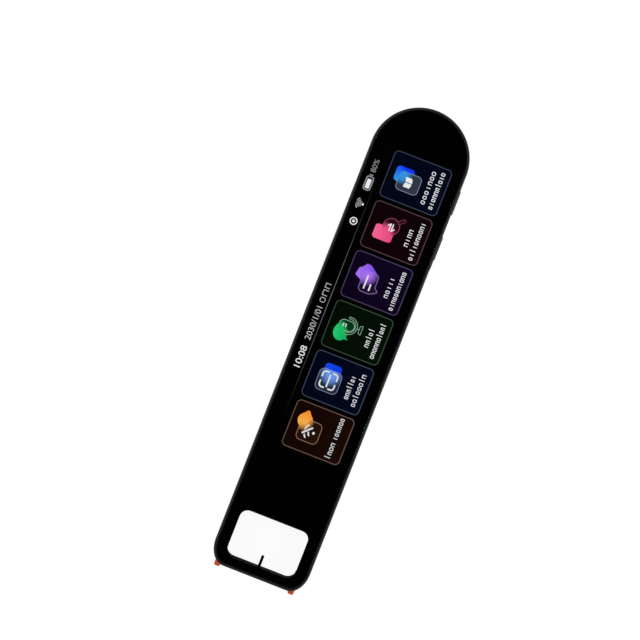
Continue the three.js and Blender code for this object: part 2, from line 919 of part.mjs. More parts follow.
// The grille fills the room between the camera and the microphone, with the speaker's margins left.
const speakerRoomTop = microphoneY - microphoneWidth / 2 - speakerToMicrophone;
const speakerRoomBottom = moduleTop + speakerToCamera;
const grilleMiddle = (speakerRoomTop + speakerRoomBottom) / 2;
const grilleRoom = speakerRoomTop - grilleMiddle - speakerMargin - grillePocketMargin - grilleHoleRadius;
const grilleRows = 2 * Math.floor(grilleRoom / grillePitchAlong) + 1;
const grilleHalfAcross = ((grilleColumns - 1) * grillePitchAcross) / 2 + grilleHoleRadius;
const grilleHalfAlong = ((grilleRows - 1) * grillePitchAlong) / 2 + grilleHoleRadius;
const pocketHalfAcross = grilleHalfAcross + grillePocketMargin;
const pocketHalfAlong = grilleHalfAlong + grillePocketMargin;

// The places of the grille's holes: the four corners of the block are left out.
function grilleHoles() {
  const places = [];
  for (let column = 0; column < grilleColumns; column++) {
    for (let row = 0; row < grilleRows; row++) {
      const atSide = column === 0 || column === grilleColumns - 1;
      const atEnd = row === 0 || row === grilleRows - 1;
      if (atSide && atEnd) continue;
      places.push([
        (column - (grilleColumns - 1) / 2) * grillePitchAcross,
        grilleMiddle + (row - (grilleRows - 1) / 2) * grillePitchAlong,
      ]);
    }
  }
  return places;
}

// The raised deck, put in from inside, with its flange behind the panel.
function cameraDeck() {
  const body = stack([
    [deckOutline(deckEdgeRound), deckFace],
    [deckOutline(0), deckFace + deckEdgeRound],
    [deckOutline(0), deckInner],
  ]);
  let deck = body
    .add(prism(deckOutline(-deckFlange), panelThickness, deckInner))
    .subtract(
      block(
        -pocketHalfAcross,
        pocketHalfAcross,
        grilleMiddle - pocketHalfAlong,
        grilleMiddle + pocketHalfAlong,
        deckFace + grilleWall,
        deckInner + overrun,
      ),
    )
    .subtract(
      bar(ringRadius + ringGap, 0, cameraY, deckFace - overrun, deckInner + overrun, "z", ringSteps),
    );
  for (const [x, y] of grilleHoles()) {
    deck = deck.subtract(
      bar(grilleHoleRadius, x, y, deckFace - overrun, deckInner, "z", holeSteps),
    );
  }
  return deck;
}

function speakerMesh() {
  const across = pocketHalfAcross - meshClearance;
  const lengthwise = pocketHalfAlong - meshClearance;
  const back = deckFace + grilleWall;
  return block(
    -across,
    across,
    grilleMiddle - lengthwise,
    grilleMiddle + lengthwise,
    back,
    back + meshThickness,
  );
}

function speakerGasket() {
  const across = pocketHalfAcross + gasketWidth;
  const lengthwise = pocketHalfAlong + gasketWidth;
  const front = deckInner + gasketThickness;
  return prism(
    box2(-across, across, grilleMiddle - lengthwise, grilleMiddle + lengthwise, gasketWidth, smallSteps),
    deckInner,
    front,
  ).subtract(
    block(
      -pocketHalfAcross,
      pocketHalfAcross,
      grilleMiddle - pocketHalfAlong,
      grilleMiddle + pocketHalfAlong,
      deckInner - overrun,
      front + overrun,
    ),
  );
}

function speaker() {
  const across = pocketHalfAcross + speakerMargin;
  const lengthwise = pocketHalfAlong + speakerMargin;
  return prism(
    box2(-across, across, grilleMiddle - lengthwise, grilleMiddle + lengthwise, speakerCorner, smallSteps),
    deckInner + gasketThickness,
    boardBack,
  );
}

// The camera ring: a bright bezel, a shelf for the dial and the lens, and a flange behind the deck.
const lensSeat = ringFace + lensRecess + lensThickness + dialThickness;
const ringInner = ringRadius - ringBezel;
const shelfInner = ringInner - ringShelf;

function cameraRing() {
  const flangeRadius = ringRadius + ringFlange;
  const flangeFront = deckInner + ringFlangeThickness;
  return turned(
    [
      [ringInner + ringEdgeRound, ringFace],
      [ringRadius - ringEdgeRound, ringFace],
      [ringRadius, ringFace + ringEdgeRound],
      [ringRadius, deckInner],
      [flangeRadius, deckInner],
      [flangeRadius, flangeFront],
      [shelfInner, flangeFront],
      [shelfInner, lensSeat],
      [ringInner, lensSeat],
      [ringInner, ringFace + ringEdgeRound],
      [ringInner + ringEdgeRound, ringFace],
    ],
    cameraY,
  );
}

function cameraDial() {
  const edge = ringInner - lensClearance;
  return turned(
    [
      [dialHoleRadius, lensSeat - dialThickness],
      [edge, lensSeat - dialThickness],
      [edge, lensSeat],
      [dialHoleRadius, lensSeat],
      [dialHoleRadius, lensSeat - dialThickness],
    ],
    cameraY,
  );
}

function cameraLens() {
  const edge = ringInner - lensClearance;
  const front = lensSeat - dialThickness;
  return turned(
    [
      [0, front - lensThickness],
      [edge, front - lensThickness],
      [edge, front],
      [0, front],
    ],
    cameraY,
  );
}

function cameraModule() {
  const half = moduleWidth / 2;
  const back = deckInner + ringFlangeThickness + moduleGap;
  const barrelBack = back - barrelReach;
  return block(-half, half, moduleBottom, moduleTop, back, boardBack)
    .add(bar(barrelRadius, 0, cameraY, barrelBack, back + overrun, "z", 2 * screwSteps))
    .subtract(bar(pupilRadius, 0, cameraY, barrelBack - overrun, barrelBack + pupilDepth));
}

function mainBoard() {
  const top = topEnd - boardFromTop;
  let board = prism(
    [
      point(-boardHalf, topEnd - boardEnd),
      point(boardHalf, topEnd - boardEnd),
      ...arcPoints(point(0, top - boardHalf), boardHalf, boardHalf, 0, Math.PI, roundEndSteps / 2),
    ],
    boardBack,
    boardFront,
  );
  for (const [x, y] of boardScrews) {
    board = board.subtract(bar(screwHoleRadius, x, y, boardBack - overrun, boardFront + overrun));
  }
  return board;
}

// A screw: a flat head on the board's back and a shank into the midplate.
function screw(x, y, seat) {
  return bar(screwHeadRadius, x, y, seat - screwHeadHeight, seat).add(
    bar(screwRadius, x, y, seat - screwHeadHeight / 2, midplateFront - screwTipGap),
  );
}

// A pressed steel lid over a group of chips, open towards the board.
function shield(x0, x1, y0, y1) {
  const back = boardBack - shieldHeight;
  return block(x0, x1, y0, y1, back, boardBack).subtract(
    block(
      x0 + shieldSheet,
      x1 - shieldSheet,
      y0 + shieldSheet,
      y1 - shieldSheet,
      back + shieldSheet,
      boardBack + overrun,
    ),
  );
}

function processorShield() {
  const top = moduleBottom - processorToCamera;
  return shield(-processorWidth / 2, processorWidth / 2, top - processorLength, top);
}

function radioShield() {
  const left = -boardHalf + radioFromEdge;
  const right = -moduleWidth / 2 - radioToCamera;
  const top = topEnd - radioFromTop;
  return shield(left, right, top - radioLength, top);
}

// The microphone sits square to its pinhole in the round end.
function microphone() {
  const half = microphoneWidth / 2;
  return block(
    microphoneSide - half,
    microphoneSide + half,
    microphoneY - half,
    microphoneY + half,
    boardBack - microphoneHeight,
    boardBack,
  );
}

// The charging socket: an oval tube with a back wall, and the contact tongue inside.
function chargingSocket() {
  const mouth = topEnd - socketRecess;
  const end = mouth - socketDepth;
  const middle = boardBack - socketHeight / 2;
  return prism(socketOutline(0), end, mouth, "y")
    .subtract(prism(socketOutline(socketWall), end + socketBack, mouth + overrun, "y"))
    .add(
      block(
        -tongueWidth / 2,
        tongueWidth / 2,
        end,
        end + socketBack + tongueLength,
        middle - tongueHeight / 2,
        middle + tongueHeight / 2,
      ),
    );
}

function battery() {
  const half = cavityHalf - batterySideGap;
  return prism(
    box2(panelThickness + batteryBackGap, midplateBack, -half, half, batteryCorner, smallSteps),
    batteryBottom,
    batteryTop,
    "y",
  );
}

// The ribbon that joins the two boards, over the battery's back.
function scanFlex() {
  const level = panelThickness + scanFlexLift;
  const mainEnd = topEnd - boardEnd - scanFlexBend;
  const scanEnd = scanBoardTop + scanFlexBend;
  return ribbon(
    [
      [mainEnd + scanFlexBend + scanFlexOnBoard, boardBack - flexThickness],
      [mainEnd, boardBack - flexThickness],
      [mainEnd, level],
      [scanEnd, level],
      [scanEnd, scanBoardBack - flexThickness],
      [scanBoardTop - scanFlexOnBoard / 4, scanBoardBack - flexThickness],
    ].reverse(),
    scanFlexWidth,
  );
}

function antenna() {
  const top = deckBottom - antennaToDeck;
  return block(
    -antennaWidth / 2,
    antennaWidth / 2,
    top - antennaLength,
    top,
    panelThickness,
    panelThickness + flexThickness,
  );
}

// The press frame: a loop round the well, open behind the shroud, with a bar, prongs and stems.
function pressFrame() {
  const outer = box2(-frameOuterHalf, frameOuterHalf, barOuter, frameOuterTop, frameCorner);
  const gapHalf = panelTabHalf + frameGap;
  const faceY = prongTopEnd - frameLeg;
  const behindPanel = block(
    -frameOuterHalf - overrun,
    frameOuterHalf + overrun,
    faceY,
    frameOuterTop + overrun,
    frameFaceDrop - overrun,
    frameBack,
  );
  const headGap = block(
    -gapHalf,
    gapHalf,
    frameInnerTop - overrun,
    frameOuterTop + overrun,
    frameBack - overrun,
    frameFront + overrun,
  );
  const stop = block(
    -barStopWidth / 2,
    barStopWidth / 2,
    barOuter - barStopReach,
    barOuter + barThickness / 2,
    frameFaceDrop,
    frameFront,
  );
  return prism(outer, frameFaceDrop, frameFront)
    .subtract(behindPanel)
    .add(stop)
    .subtract(frameFunnel())
    .subtract(headGap)
    .add(prong(-1))
    .add(prong(1))
    .add(stem(-1))
    .add(stem(1))
    .add(triggerTab());
}

// The frame's inside widens towards the back at the bar, so that the glass edge hides the bar's face.
function frameFunnel() {
  const opening = (low) =>
    box2(-frameInnerHalf, frameInnerHalf, low, frameInnerTop, frameCorner - frameLeg / 2);
  const backOpening = opening(barInner - barSlope);
  const frontOpening = opening(barInner);
  return stack([
    [backOpening, frameFaceDrop - overrun],
    [backOpening, frameFaceDrop],
    [frontOpening, frameFront],
    [frontOpening, frameFront + overrun],
  ]);
}

function prong(side) {
  const x = side * prongMiddle;
  const half = prongWidth / 2;
  return prism(
    rounded(
      [
        [x - half, tipEnd - prongReach, prongNose],
        [x + half, tipEnd - prongReach, prongNose],
        [x + half, prongTopEnd, 0],
        [x - half, prongTopEnd, 0],
      ],
      smallSteps,
    ),
    frameFaceDrop,
    frameFaceDrop + prongHeight,
  );
}

function stem(side) {
  const x = side * stemSide;
  const half = stemWidth / 2;
  return block(
    x - half,
    x + half,
    frameOuterTop - frameLeg / 2,
    stemEnd,
    frameBack,
    frameBack + stemHeight,
  ).add(
    bar(stemPinRadius, stemMiddle, x, stemEnd - overrun, stemEnd + stemPinLength, "y", holeSteps),
  );
}

// A finger on the left stem that pushes the trigger switch.
function triggerTab() {
  const edge = -stemSide + stemWidth / 2;
  return block(
    edge - stemWidth / 4,
    edge + triggerTabReach,
    stemEnd - triggerTabThickness,
    stemEnd,
    frameBack,
    frameBack + stemHeight,
  );
}

function frameSpring(side) {
  return coil(side * stemSide, stemMiddle, stemEnd, springLength);
}

function scanBoard() {
  let board = block(
    -scanBoardHalf,
    scanBoardHalf,
    scanBoardEnd,
    scanBoardTop,
    scanBoardBack,
    midplateBack,
  );
  for (const [x, y] of scanScrews) {
    board = board.subtract(bar(screwHoleRadius, x, y, scanBoardBack - overrun, midplateBack + overrun));
  }
  return board;
}

const scanCameraFront = scanBoardEnd + scanCameraFromEdge;
const scanCameraMiddle = scanBoardBack - scanBarrelRadius - scanLensClearance;
const scanBarrelEnd = cavityEnd - wellWall / 2 + scanBarrelGap;

// The scan camera looks along the pen, out through the shroud into the well.
function scanCamera() {
  const half = scanCameraWidth / 2;
  const seatStart = scanBarrelEnd + scanLensThickness;
  return block(
    -half,
    half,
    scanCameraFront,
    scanCameraFront + scanCameraLength,
    scanCameraBack,
    scanBoardBack,
  )
    .add(
      bar(
        scanBarrelRadius,
        scanCameraMiddle,
        0,
        scanBarrelEnd,
        scanCameraFront + overrun,
        "y",
        2 * screwSteps,
      ),
    )
    .subtract(
      bar(
        scanLensRadius + scanLensClearance,
        scanCameraMiddle,
        0,
        scanBarrelEnd - overrun,
        seatStart + scanLensSeat,
        "y",
        2 * screwSteps,
      ),
    );
}

function scanLens() {
  const start = scanBarrelEnd + scanLensSeat;
  return bar(
    scanLensRadius,
    scanCameraMiddle,
    0,
    start,
    start + scanLensThickness,
    "y",
    2 * screwSteps,
  );
}

// The shroud: the black block over the scan head, with an aperture and two light windows.
function scanShroud() {
  const half = shroudHalf;
  const front = wellTop + wellHeadMargin;
  const through = [front - overrun, cavityEnd + overrun];
  let shroud = block(-half, half, front, cavityEnd, panelThickness + shroudClearance, shroudFront);
  shroud = shroud.subtract(
    bar(shroudApertureRadius, scanCameraMiddle, 0, through[0], through[1], "y", 2 * screwSteps),
  );
  for (const side of [-1, 1]) {
    const x = side * lightSide;
    shroud = shroud.subtract(
      block(
        x - shroudLightWidth / 2,
        x + shroudLightWidth / 2,
        through[0],
        through[1],
        scanCameraMiddle - shroudLightHeight / 2,
        scanCameraMiddle + shroudLightHeight / 2,
      ),
    );
  }
  return shroud;
}

// A small upright board with one light, on the scan board behind a shroud window.
function scanLight(side) {
  const x = side * lightSide;
  const ledFront = cavityEnd + lightToShroud;
  const boardFace = ledFront + lightLedReach;
  return block(
    x - lightBoardWidth / 2,
    x + lightBoardWidth / 2,
    boardFace,
    boardFace + lightBoardThickness,
    scanCameraBack,
    scanBoardBack,
  ).add(
    block(
      x - lightLedSize / 2,
      x + lightLedSize / 2,
      ledFront,
      boardFace + lightBoardThickness / 2,
      scanCameraMiddle - lightLedSize / 2,
      scanCameraMiddle + lightLedSize / 2,
    ),
  );
}

// The trigger switch stands on the scan board, and its plunger is met at the end of the travel.
function triggerSwitch() {
  const left = -scanBoardHalf;
  const plungerTip = stemEnd + frameTravel + plungerSlack;
  const face = plungerTip + triggerPlungerReach;
  const middle = left + triggerWidth / 2;
  return block(
    left,
    left + triggerWidth,
    face,
    face + triggerLength,
    frameBack,
    scanBoardBack,
  ).add(
    block(
      middle - triggerPlungerWidth / 2,
      middle + triggerPlungerWidth / 2,
      plungerTip,
      face + overrun,
      stemMiddle - triggerPlungerWidth / 2,
      stemMiddle + triggerPlungerWidth / 2,
    ),
  );
}

// Finishes, by colour, roughness and metalness.
const finish = {
  shellPlastic: [0x2b2b2c, 0.5, 0],
  panelPlastic: [0x2a2a2a, 0.6, 0],
  deckPlastic: [0x262627, 0.5, 0],
  coverGlass: [0x0a0b0d, 0.05, 0],
  blackPrint: [0x050505, 0.4, 0],
  screen: [0x101018, 0.2, 0],
  white: [0xe8e8e6, 0.6, 0],
  steel: [0xb9bcc0, 0.35, 1],
  spunMetal: [0x5a5b5e, 0.3, 1],
  lens: [0x101216, 0.05, 0],
  orange: [0xe15a37, 0.45, 0],
  board: [0x1f5a3a, 0.6, 0],
  blackPart: [0x151515, 0.6, 0],
  keyPlastic: [0x232324, 0.45, 0],
  battery: [0xc6c8cc, 0.4, 0.6],
  flex: [0x9a5a1e, 0.5, 0],
  light: [0xf4efd8, 0.4, 0],
  mesh: [0x0c0c0d, 0.9, 0],
};

const pen = new THREE.Group();

// Puts a finished solid into the pen as one named mesh.
function place(name, solid, look) {
  const { vertProperties, triVerts, numProp } = solid.getMesh();
  const geometry = new THREE.BufferGeometry();
  const positions = new Float32Array((vertProperties.length / numProp) * 3);
  for (let i = 0; i < positions.length / 3; i++) {
    positions.set(vertProperties.subarray(i * numProp, i * numProp + 3), i * 3);
  }
  geometry.setAttribute("position", new THREE.BufferAttribute(positions, 3));
  geometry.setIndex(new THREE.BufferAttribute(new Uint32Array(triVerts), 1));
  geometry.computeVertexNormals();
  const [color, roughness, metalness] = finish[look];
  const mesh = new THREE.Mesh(geometry, new THREE.MeshStandardMaterial({ color, roughness, metalness }));
  mesh.name = name;
  pen.add(mesh);
}

place("housing", housing(), "shellPlastic");
place("cover_glass", coverGlass(), "coverGlass");
place("bezel_print", bezelPrint(), "blackPrint");
place("screen_panel", screenPanel(), "screen");
place("backlight_unit", backlight(), "white");
place("screen_tray", screenTray(), "steel");
place("screen_flex", screenTail(), "flex");
place("back_panel", backPanel(), "panelPlastic");
place("camera_deck", cameraDeck(), "deckPlastic");
place("speaker_mesh", speakerMesh(), "mesh");
place("speaker_gasket", speakerGasket(), "blackPart");
place("speaker", speaker(), "blackPart");
place("camera_ring", cameraRing(), "steel");
place("camera_dial", cameraDial(), "spunMetal");
place("camera_lens", cameraLens(), "lens");
place("camera_module", cameraModule(), "blackPart");
place("main_board", mainBoard(), "board");
place("processor_shield", processorShield(), "steel");
place("radio_shield", radioShield(), "steel");
place("microphone", microphone(), "steel");
place("charging_socket", chargingSocket(), "steel");
place("power_key", key(powerKeyFromTop, powerKeyLength), "keyPlastic");
place("power_switch", keySwitch(powerKeyFromTop, powerKeyLength), "blackPart");
place("function_key", functionKey(), "keyPlastic");
place("function_switch", keySwitch(functionKeyFromTop, functionKeyLength), "blackPart");
place("battery", battery(), "battery");
place("scan_flex", scanFlex(), "flex");
place("antenna", antenna(), "flex");
place("press_frame", pressFrame(), "orange");
place("frame_spring_left", frameSpring(-1), "steel");
place("frame_spring_right", frameSpring(1), "steel");
place("scan_board", scanBoard(), "board");
place("scan_camera", scanCamera(), "blackPart");
place("scan_lens", scanLens(), "lens");
place("scan_shroud", scanShroud(), "blackPart");
place("scan_light_left", scanLight(-1), "light");
place("scan_light_right", scanLight(1), "light");
place("trigger_switch", triggerSwitch(), "blackPart");
boardScrews.forEach(([x, y], i) => place(`board_screw_${i + 1}`, screw(x, y, boardBack), "steel"));
scanScrews.forEach(([x, y], i) => place(`scan_screw_${i + 1}`, screw(x, y, scanBoardBack), "steel"));

export default pen;
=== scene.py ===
# %% [markdown]
# # A scanning pen, dressed piece by piece
# The pen reads printed words through a window in its tip and shows them on a long touch screen. Its CAD
# solids give every size and every moving part, but they are coarse and bare. This lesson replaces the pieces
# that show with fine ones, gives every surface a finish made of nodes, and lights the pen like a product on a
# white table.

# %% Load the frame
import json
import math

import bmesh
import bpy
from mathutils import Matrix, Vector

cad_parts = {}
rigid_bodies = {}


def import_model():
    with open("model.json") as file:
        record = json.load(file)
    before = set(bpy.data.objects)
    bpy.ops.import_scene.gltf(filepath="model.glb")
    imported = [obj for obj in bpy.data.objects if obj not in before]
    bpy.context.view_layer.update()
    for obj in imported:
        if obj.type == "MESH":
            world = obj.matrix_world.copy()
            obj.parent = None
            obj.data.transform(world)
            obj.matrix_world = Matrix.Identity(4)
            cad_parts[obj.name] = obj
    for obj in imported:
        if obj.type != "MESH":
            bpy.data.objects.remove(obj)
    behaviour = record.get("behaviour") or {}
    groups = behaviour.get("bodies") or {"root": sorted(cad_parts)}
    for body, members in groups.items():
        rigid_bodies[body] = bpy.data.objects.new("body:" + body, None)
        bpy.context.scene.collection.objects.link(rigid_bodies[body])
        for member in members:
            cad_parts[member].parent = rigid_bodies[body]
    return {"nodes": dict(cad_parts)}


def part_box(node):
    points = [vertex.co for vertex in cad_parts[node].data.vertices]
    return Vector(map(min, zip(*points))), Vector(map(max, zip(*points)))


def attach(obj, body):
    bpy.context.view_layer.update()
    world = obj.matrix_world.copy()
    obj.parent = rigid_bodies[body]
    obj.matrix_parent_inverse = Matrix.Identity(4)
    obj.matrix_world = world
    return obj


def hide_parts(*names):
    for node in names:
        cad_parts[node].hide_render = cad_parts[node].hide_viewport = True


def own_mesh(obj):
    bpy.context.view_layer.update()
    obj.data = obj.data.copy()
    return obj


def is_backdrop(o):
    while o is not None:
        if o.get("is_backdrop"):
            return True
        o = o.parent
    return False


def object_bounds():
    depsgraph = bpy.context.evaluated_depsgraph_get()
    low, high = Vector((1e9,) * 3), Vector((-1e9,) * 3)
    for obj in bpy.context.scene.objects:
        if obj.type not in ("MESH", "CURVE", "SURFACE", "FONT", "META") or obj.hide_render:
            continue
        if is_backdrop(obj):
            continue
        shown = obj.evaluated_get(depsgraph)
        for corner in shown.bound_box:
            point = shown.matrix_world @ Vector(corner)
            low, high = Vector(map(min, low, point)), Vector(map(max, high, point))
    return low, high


for leftover in list(bpy.data.objects):
    bpy.data.objects.remove(leftover)
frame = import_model()
cad_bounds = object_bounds()
print("CAD nodes:", len(frame["nodes"]))

# %% [markdown]
# ## Sizes
# Whatever the CAD boxes can tell is read from them, so the dressed pieces fit the solids they stand for. The
# rest, such as corner radii, gets one name each. Blender works in metres, and a pen is easier to think of in
# millimetres, so each length is written as millimetres times MM.

# %% Sizes from the CAD boxes
MM = 0.001
shell_low, shell_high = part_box("housing")
glass_low, glass_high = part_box("cover_glass")
print_low, print_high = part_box("bezel_print")
screen_low, screen_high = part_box("screen_panel")
tray_low, tray_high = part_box("screen_tray")
board_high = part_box("main_board")[1]
panel_low, panel_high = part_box("back_panel")
deck_low, deck_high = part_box("camera_deck")
ring_low, ring_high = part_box("camera_ring")
lens_low, lens_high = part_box("camera_lens")
dial_low, dial_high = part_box("camera_dial")
mesh_low, mesh_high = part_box("speaker_mesh")
socket_low, socket_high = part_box("charging_socket")
frame_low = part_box("press_frame")[0]
BODY_HALF = shell_high.x
TOP_END = shell_high.y
TIP_END = shell_low.y
print("body", round(2 * BODY_HALF / MM, 2), "x", round((TOP_END - TIP_END) / MM, 2), "mm")

# %% Sizes of the shell and the glass
TIP_CORNER_ACROSS = 5.3 * MM
TIP_CORNER_ALONG = 7.5 * MM
BACK_EDGE = 1.5 * MM
RIM_WIDTH = 0.8 * MM
RIM_EDGE = 0.5 * MM
GLASS_INSET = 0.9 * MM
GLASS_EDGE = 0.2 * MM
SIDE_WALL = 2.5 * MM
MIDPLATE = 0.9 * MM
OVERRUN = 0.5 * MM
CAVITY_HALF = BODY_HALF - SIDE_WALL
MIDPLATE_FRONT = tray_low.z
MIDPLATE_BACK = MIDPLATE_FRONT - MIDPLATE
print("the plate across the middle lies", round(MIDPLATE_BACK / MM, 2), "mm above the back")

# %% Sizes of the scan head
WINDOW_HALF = 11.6 * MM
WINDOW_LOW = TIP_END + 3.55 * MM
WINDOW_TOP = WINDOW_LOW + 16.15 * MM
WINDOW_CORNER = 3.1 * MM
WELL_SIDE_MARGIN = 0.3 * MM
WELL_END_MARGIN = 0.3 * MM
ROOM_HALF = 13.05 * MM
ROOM_LOW = -78.95 * MM
ROOM_TOP = -59.25 * MM
ROOM_FRONT = 4.3 * MM
WELL_WALL = 2 * MM
SLOT_TOP = -73.3 * MM
SLOT_INNER = 11.2 * MM
SLOT_OUTER = 14.4 * MM
SLOT_FRONT = 3.3 * MM
STEM_SIDE = 10.9 * MM
STEM_WIDTH = 1.6 * MM
STEM_HEIGHT = 2.1 * MM
FRAME_BACK = 1.5 * MM
FRAME_GAP = 0.3 * MM
CAVITY_END = ROOM_TOP + WELL_WALL
print("tip window", round(2 * WINDOW_HALF / MM, 2), "x", round((WINDOW_TOP - WINDOW_LOW) / MM, 2), "mm")

# %% [markdown]
# ## Outlines
# The pen is flat on both faces, so almost every piece is an outline with thickness. An outline here is a list
# of (a, b) points, anticlockwise. Drawing them by formula, and not by tracing, means that the same outline
# can be drawn in by a margin for the rim, the glass and the print, and that the round end gets as many steps
# as it needs to look round in a close view.

# %% Outline helpers
ROUND_STEPS = 120
CORNER_STEPS = 16
SMALL_STEPS = 24
QUARTER = math.pi / 2


def arc(middle, across, along, start, end, steps=CORNER_STEPS):
    turns = [start + (end - start) * i / steps for i in range(steps + 1)]
    return [(middle[0] + across * math.cos(t), middle[1] + along * math.sin(t)) for t in turns]


def rounded(corners, steps=CORNER_STEPS):
    """A polygon with its corners rounded; each corner is (a, b, radius)."""
    outline = []
    for i, (a, b, radius) in enumerate(corners):
        at = Vector((a, b))
        if radius == 0:
            outline.append((a, b))
            continue
        back = (Vector(corners[i - 1][:2]) - at).normalized()
        ahead = (Vector(corners[(i + 1) % len(corners)][:2]) - at).normalized()
        half = math.acos(max(-1, min(1, back.dot(ahead)))) / 2
        middle = at + (back + ahead).normalized() * (radius / math.sin(half))
        first = at + back * (radius / math.tan(half)) - middle
        start = math.atan2(first.y, first.x)
        turn = math.pi - 2 * half
        side = 1 if ahead.cross(back) > 0 else -1
        outline += arc(middle, radius, radius, start, start + side * turn, steps)
    return outline


def rectangle(left, right, low, high, radius=0, steps=CORNER_STEPS):
    corners = ((left, low), (right, low), (right, high), (left, high))
    return rounded([(a, b, radius) for a, b in corners], steps)


def circle(middle, radius, steps=48):
    return arc(middle, radius, radius, 0, 2 * math.pi * (steps - 1) / steps, steps - 1)


print("a rounded rectangle has", len(rectangle(-1, 1, -1, 1, 0.1)), "points")

# %% The pen's own outlines
PANEL_GROOVE = 0.2 * MM


def pen_outline(inset):
    half = BODY_HALF - inset
    low = TIP_END + inset
    across = TIP_CORNER_ACROSS - inset
    lengthwise = TIP_CORNER_ALONG - inset
    left = (across - half, low + lengthwise)
    right = (half - across, low + lengthwise)
    return (
        arc((0, TOP_END - BODY_HALF), half, half, 0, 2 * QUARTER, ROUND_STEPS)
        + arc(left, across, lengthwise, 2 * QUARTER, 3 * QUARTER, SMALL_STEPS)
        + arc(right, across, lengthwise, 3 * QUARTER, 4 * QUARTER, SMALL_STEPS)
    )


def panel_outline(inset, low):
    half = panel_high.x + PANEL_GROOVE - inset
    top = panel_high.y + PANEL_GROOVE - inset
    return [(-half, low), (half, low)] + arc((0, top - half), half, half, 0, 2 * QUARTER, ROUND_STEPS)


print("points round the pen:", len(pen_outline(0)))

# %% [markdown]
# ## Meshes from outlines
# A stack skins a solid over outlines at several heights, which is how an edge gets its rounding: a few
# outlines, each drawn in a little more, laid on a quarter circle. This is surer than a Bevel modifier here,
# because an outline with over a hundred short edges leaves a bevel little room. A turned piece is a profile
# carried round an axis, as on a lathe.

# %% Skinning helpers
ALONG = {
    "x": lambda a, b, t: (t, a, b),
    "y": lambda a, b, t: (b, t, a),
    "z": lambda a, b, t: (a, b, t),
}
TURN_STEPS = 144
SAME_PLACE = 0.0001 * MM


def show(name, data):
    piece = bpy.data.objects.new(name, data)
    bpy.context.scene.collection.objects.link(piece)
    return piece


def mesh_piece(name, points, faces):
    mesh = bpy.data.meshes.new(name)
    mesh.from_pydata(points, [], faces)
    mesh.update()
    return show(name, mesh)


def loft(name, rings):
    """A closed solid over rings of points that rise along its axis, each anticlockwise about it."""
    count = len(rings[0])
    points = [p for ring in rings for p in ring]
    faces = [tuple(reversed(range(count)))]
    for level in range(len(rings) - 1):
        low = level * count
        high = low + count
        for i in range(count):
            j = (i + 1) % count
            faces.append((low + i, low + j, high + j, high + i))
    faces.append(tuple(range(len(points) - count, len(points))))
    return mesh_piece(name, points, faces)


def stack(name, levels, axis="z"):
    place = ALONG[axis]
    return loft(name, [[place(a, b, t) for a, b in outline] for outline, t in levels])


def prism(name, outline, low, high, axis="z"):
    return stack(name, [(outline, low), (outline, high)], axis)


def block(name, left, right, low, high, back, front):
    return prism(name, rectangle(left, right, low, high), back, front)


def turned(name, profile, middle_y, steps=TURN_STEPS):
    """A closed (radius, z) profile carried round an upright axis."""
    points = []
    faces = []
    count = len(profile)
    for step in range(steps):
        turn = 2 * math.pi * step / steps
        points += [(r * math.cos(turn), middle_y + r * math.sin(turn), z) for r, z in profile]
        here = step * count
        there = (step + 1) % steps * count
        for i in range(count):
            j = (i + 1) % count
            faces.append((here + i, there + i, there + j, here + j))
    piece = mesh_piece(name, points, faces)
    work = bmesh.new()
    work.from_mesh(piece.data)
    bmesh.ops.remove_doubles(work, verts=work.verts, dist=SAME_PLACE)
    bmesh.ops.recalc_face_normals(work, faces=work.faces)
    work.to_mesh(piece.data)
    work.free()
    return piece


# %% Rounding profiles
EDGE_STEPS = 6


def edge_round(radius, steps=EDGE_STEPS):
    """How far in and how far down from the edge a quarter-round lies, from the side wall to the face."""
    turns = [QUARTER * i / steps for i in range(steps + 1)]
    return [(radius * (1 - math.cos(t)), radius * (1 - math.sin(t))) for t in turns]


print("the rim's edge:", [(round(a / MM, 3), round(b / MM, 3)) for a, b in edge_round(RIM_EDGE, 2)])

# %% [markdown]
# ## Cutting
# Slots and seats are cut with Boolean modifiers, the way a mill takes metal away. The modifiers are then
# applied: the evaluated object is read back as a plain mesh, and the modifiers and the cutters are removed,
# so that what rides on a body is only a mesh.

# %% Cutting helpers
def settle(piece):
    bpy.context.view_layer.update()
    graph = bpy.context.evaluated_depsgraph_get()
    plain = bpy.data.meshes.new_from_object(piece.evaluated_get(graph), depsgraph=graph)
    before = piece.data
    piece.modifiers.clear()
    piece.data = plain
    bpy.data.meshes.remove(before)
    piece.data.name = piece.name
    return piece


def discard(piece):
    mesh = piece.data
    bpy.data.objects.remove(piece)
    bpy.data.meshes.remove(mesh)


def carve(piece, cutters, way="DIFFERENCE"):
    for cutter in cutters:
        step = piece.modifiers.new(cutter.name, "BOOLEAN")
        step.operation = way
        step.solver = "MANIFOLD"
        step.object = cutter
    settle(piece)
    for cutter in cutters:
        discard(cutter)
    return piece


def soften(piece, width, segments=3, angle=40):
    """Rounds the edges that are sharper than an angle."""
    step = piece.modifiers.new("soft edges", "BEVEL")
    step.width = width
    step.segments = segments
    step.limit_method = "ANGLE"
    step.angle_limit = math.radians(angle)
    return settle(piece)


# %% [markdown]
# ## Handing a piece over
# Each finished piece gets its material, smooth shading with the sharp edges kept and the CAD body that it
# moves with, and the CAD nodes that it stands for are hidden.

# %% Handing over
SHARP = math.radians(32)


def give(piece, material, nodes=(), body="body"):
    if material is not None:
        piece.data.materials.clear()
        piece.data.materials.append(material)
    piece.data.shade_smooth()
    piece.data.set_sharp_from_angle(angle=SHARP)
    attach(piece, body)
    if nodes:
        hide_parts(*nodes)
    piece.data.calc_loop_triangles()
    print(piece.name, "has", len(piece.data.loop_triangles), "triangles")
    return piece


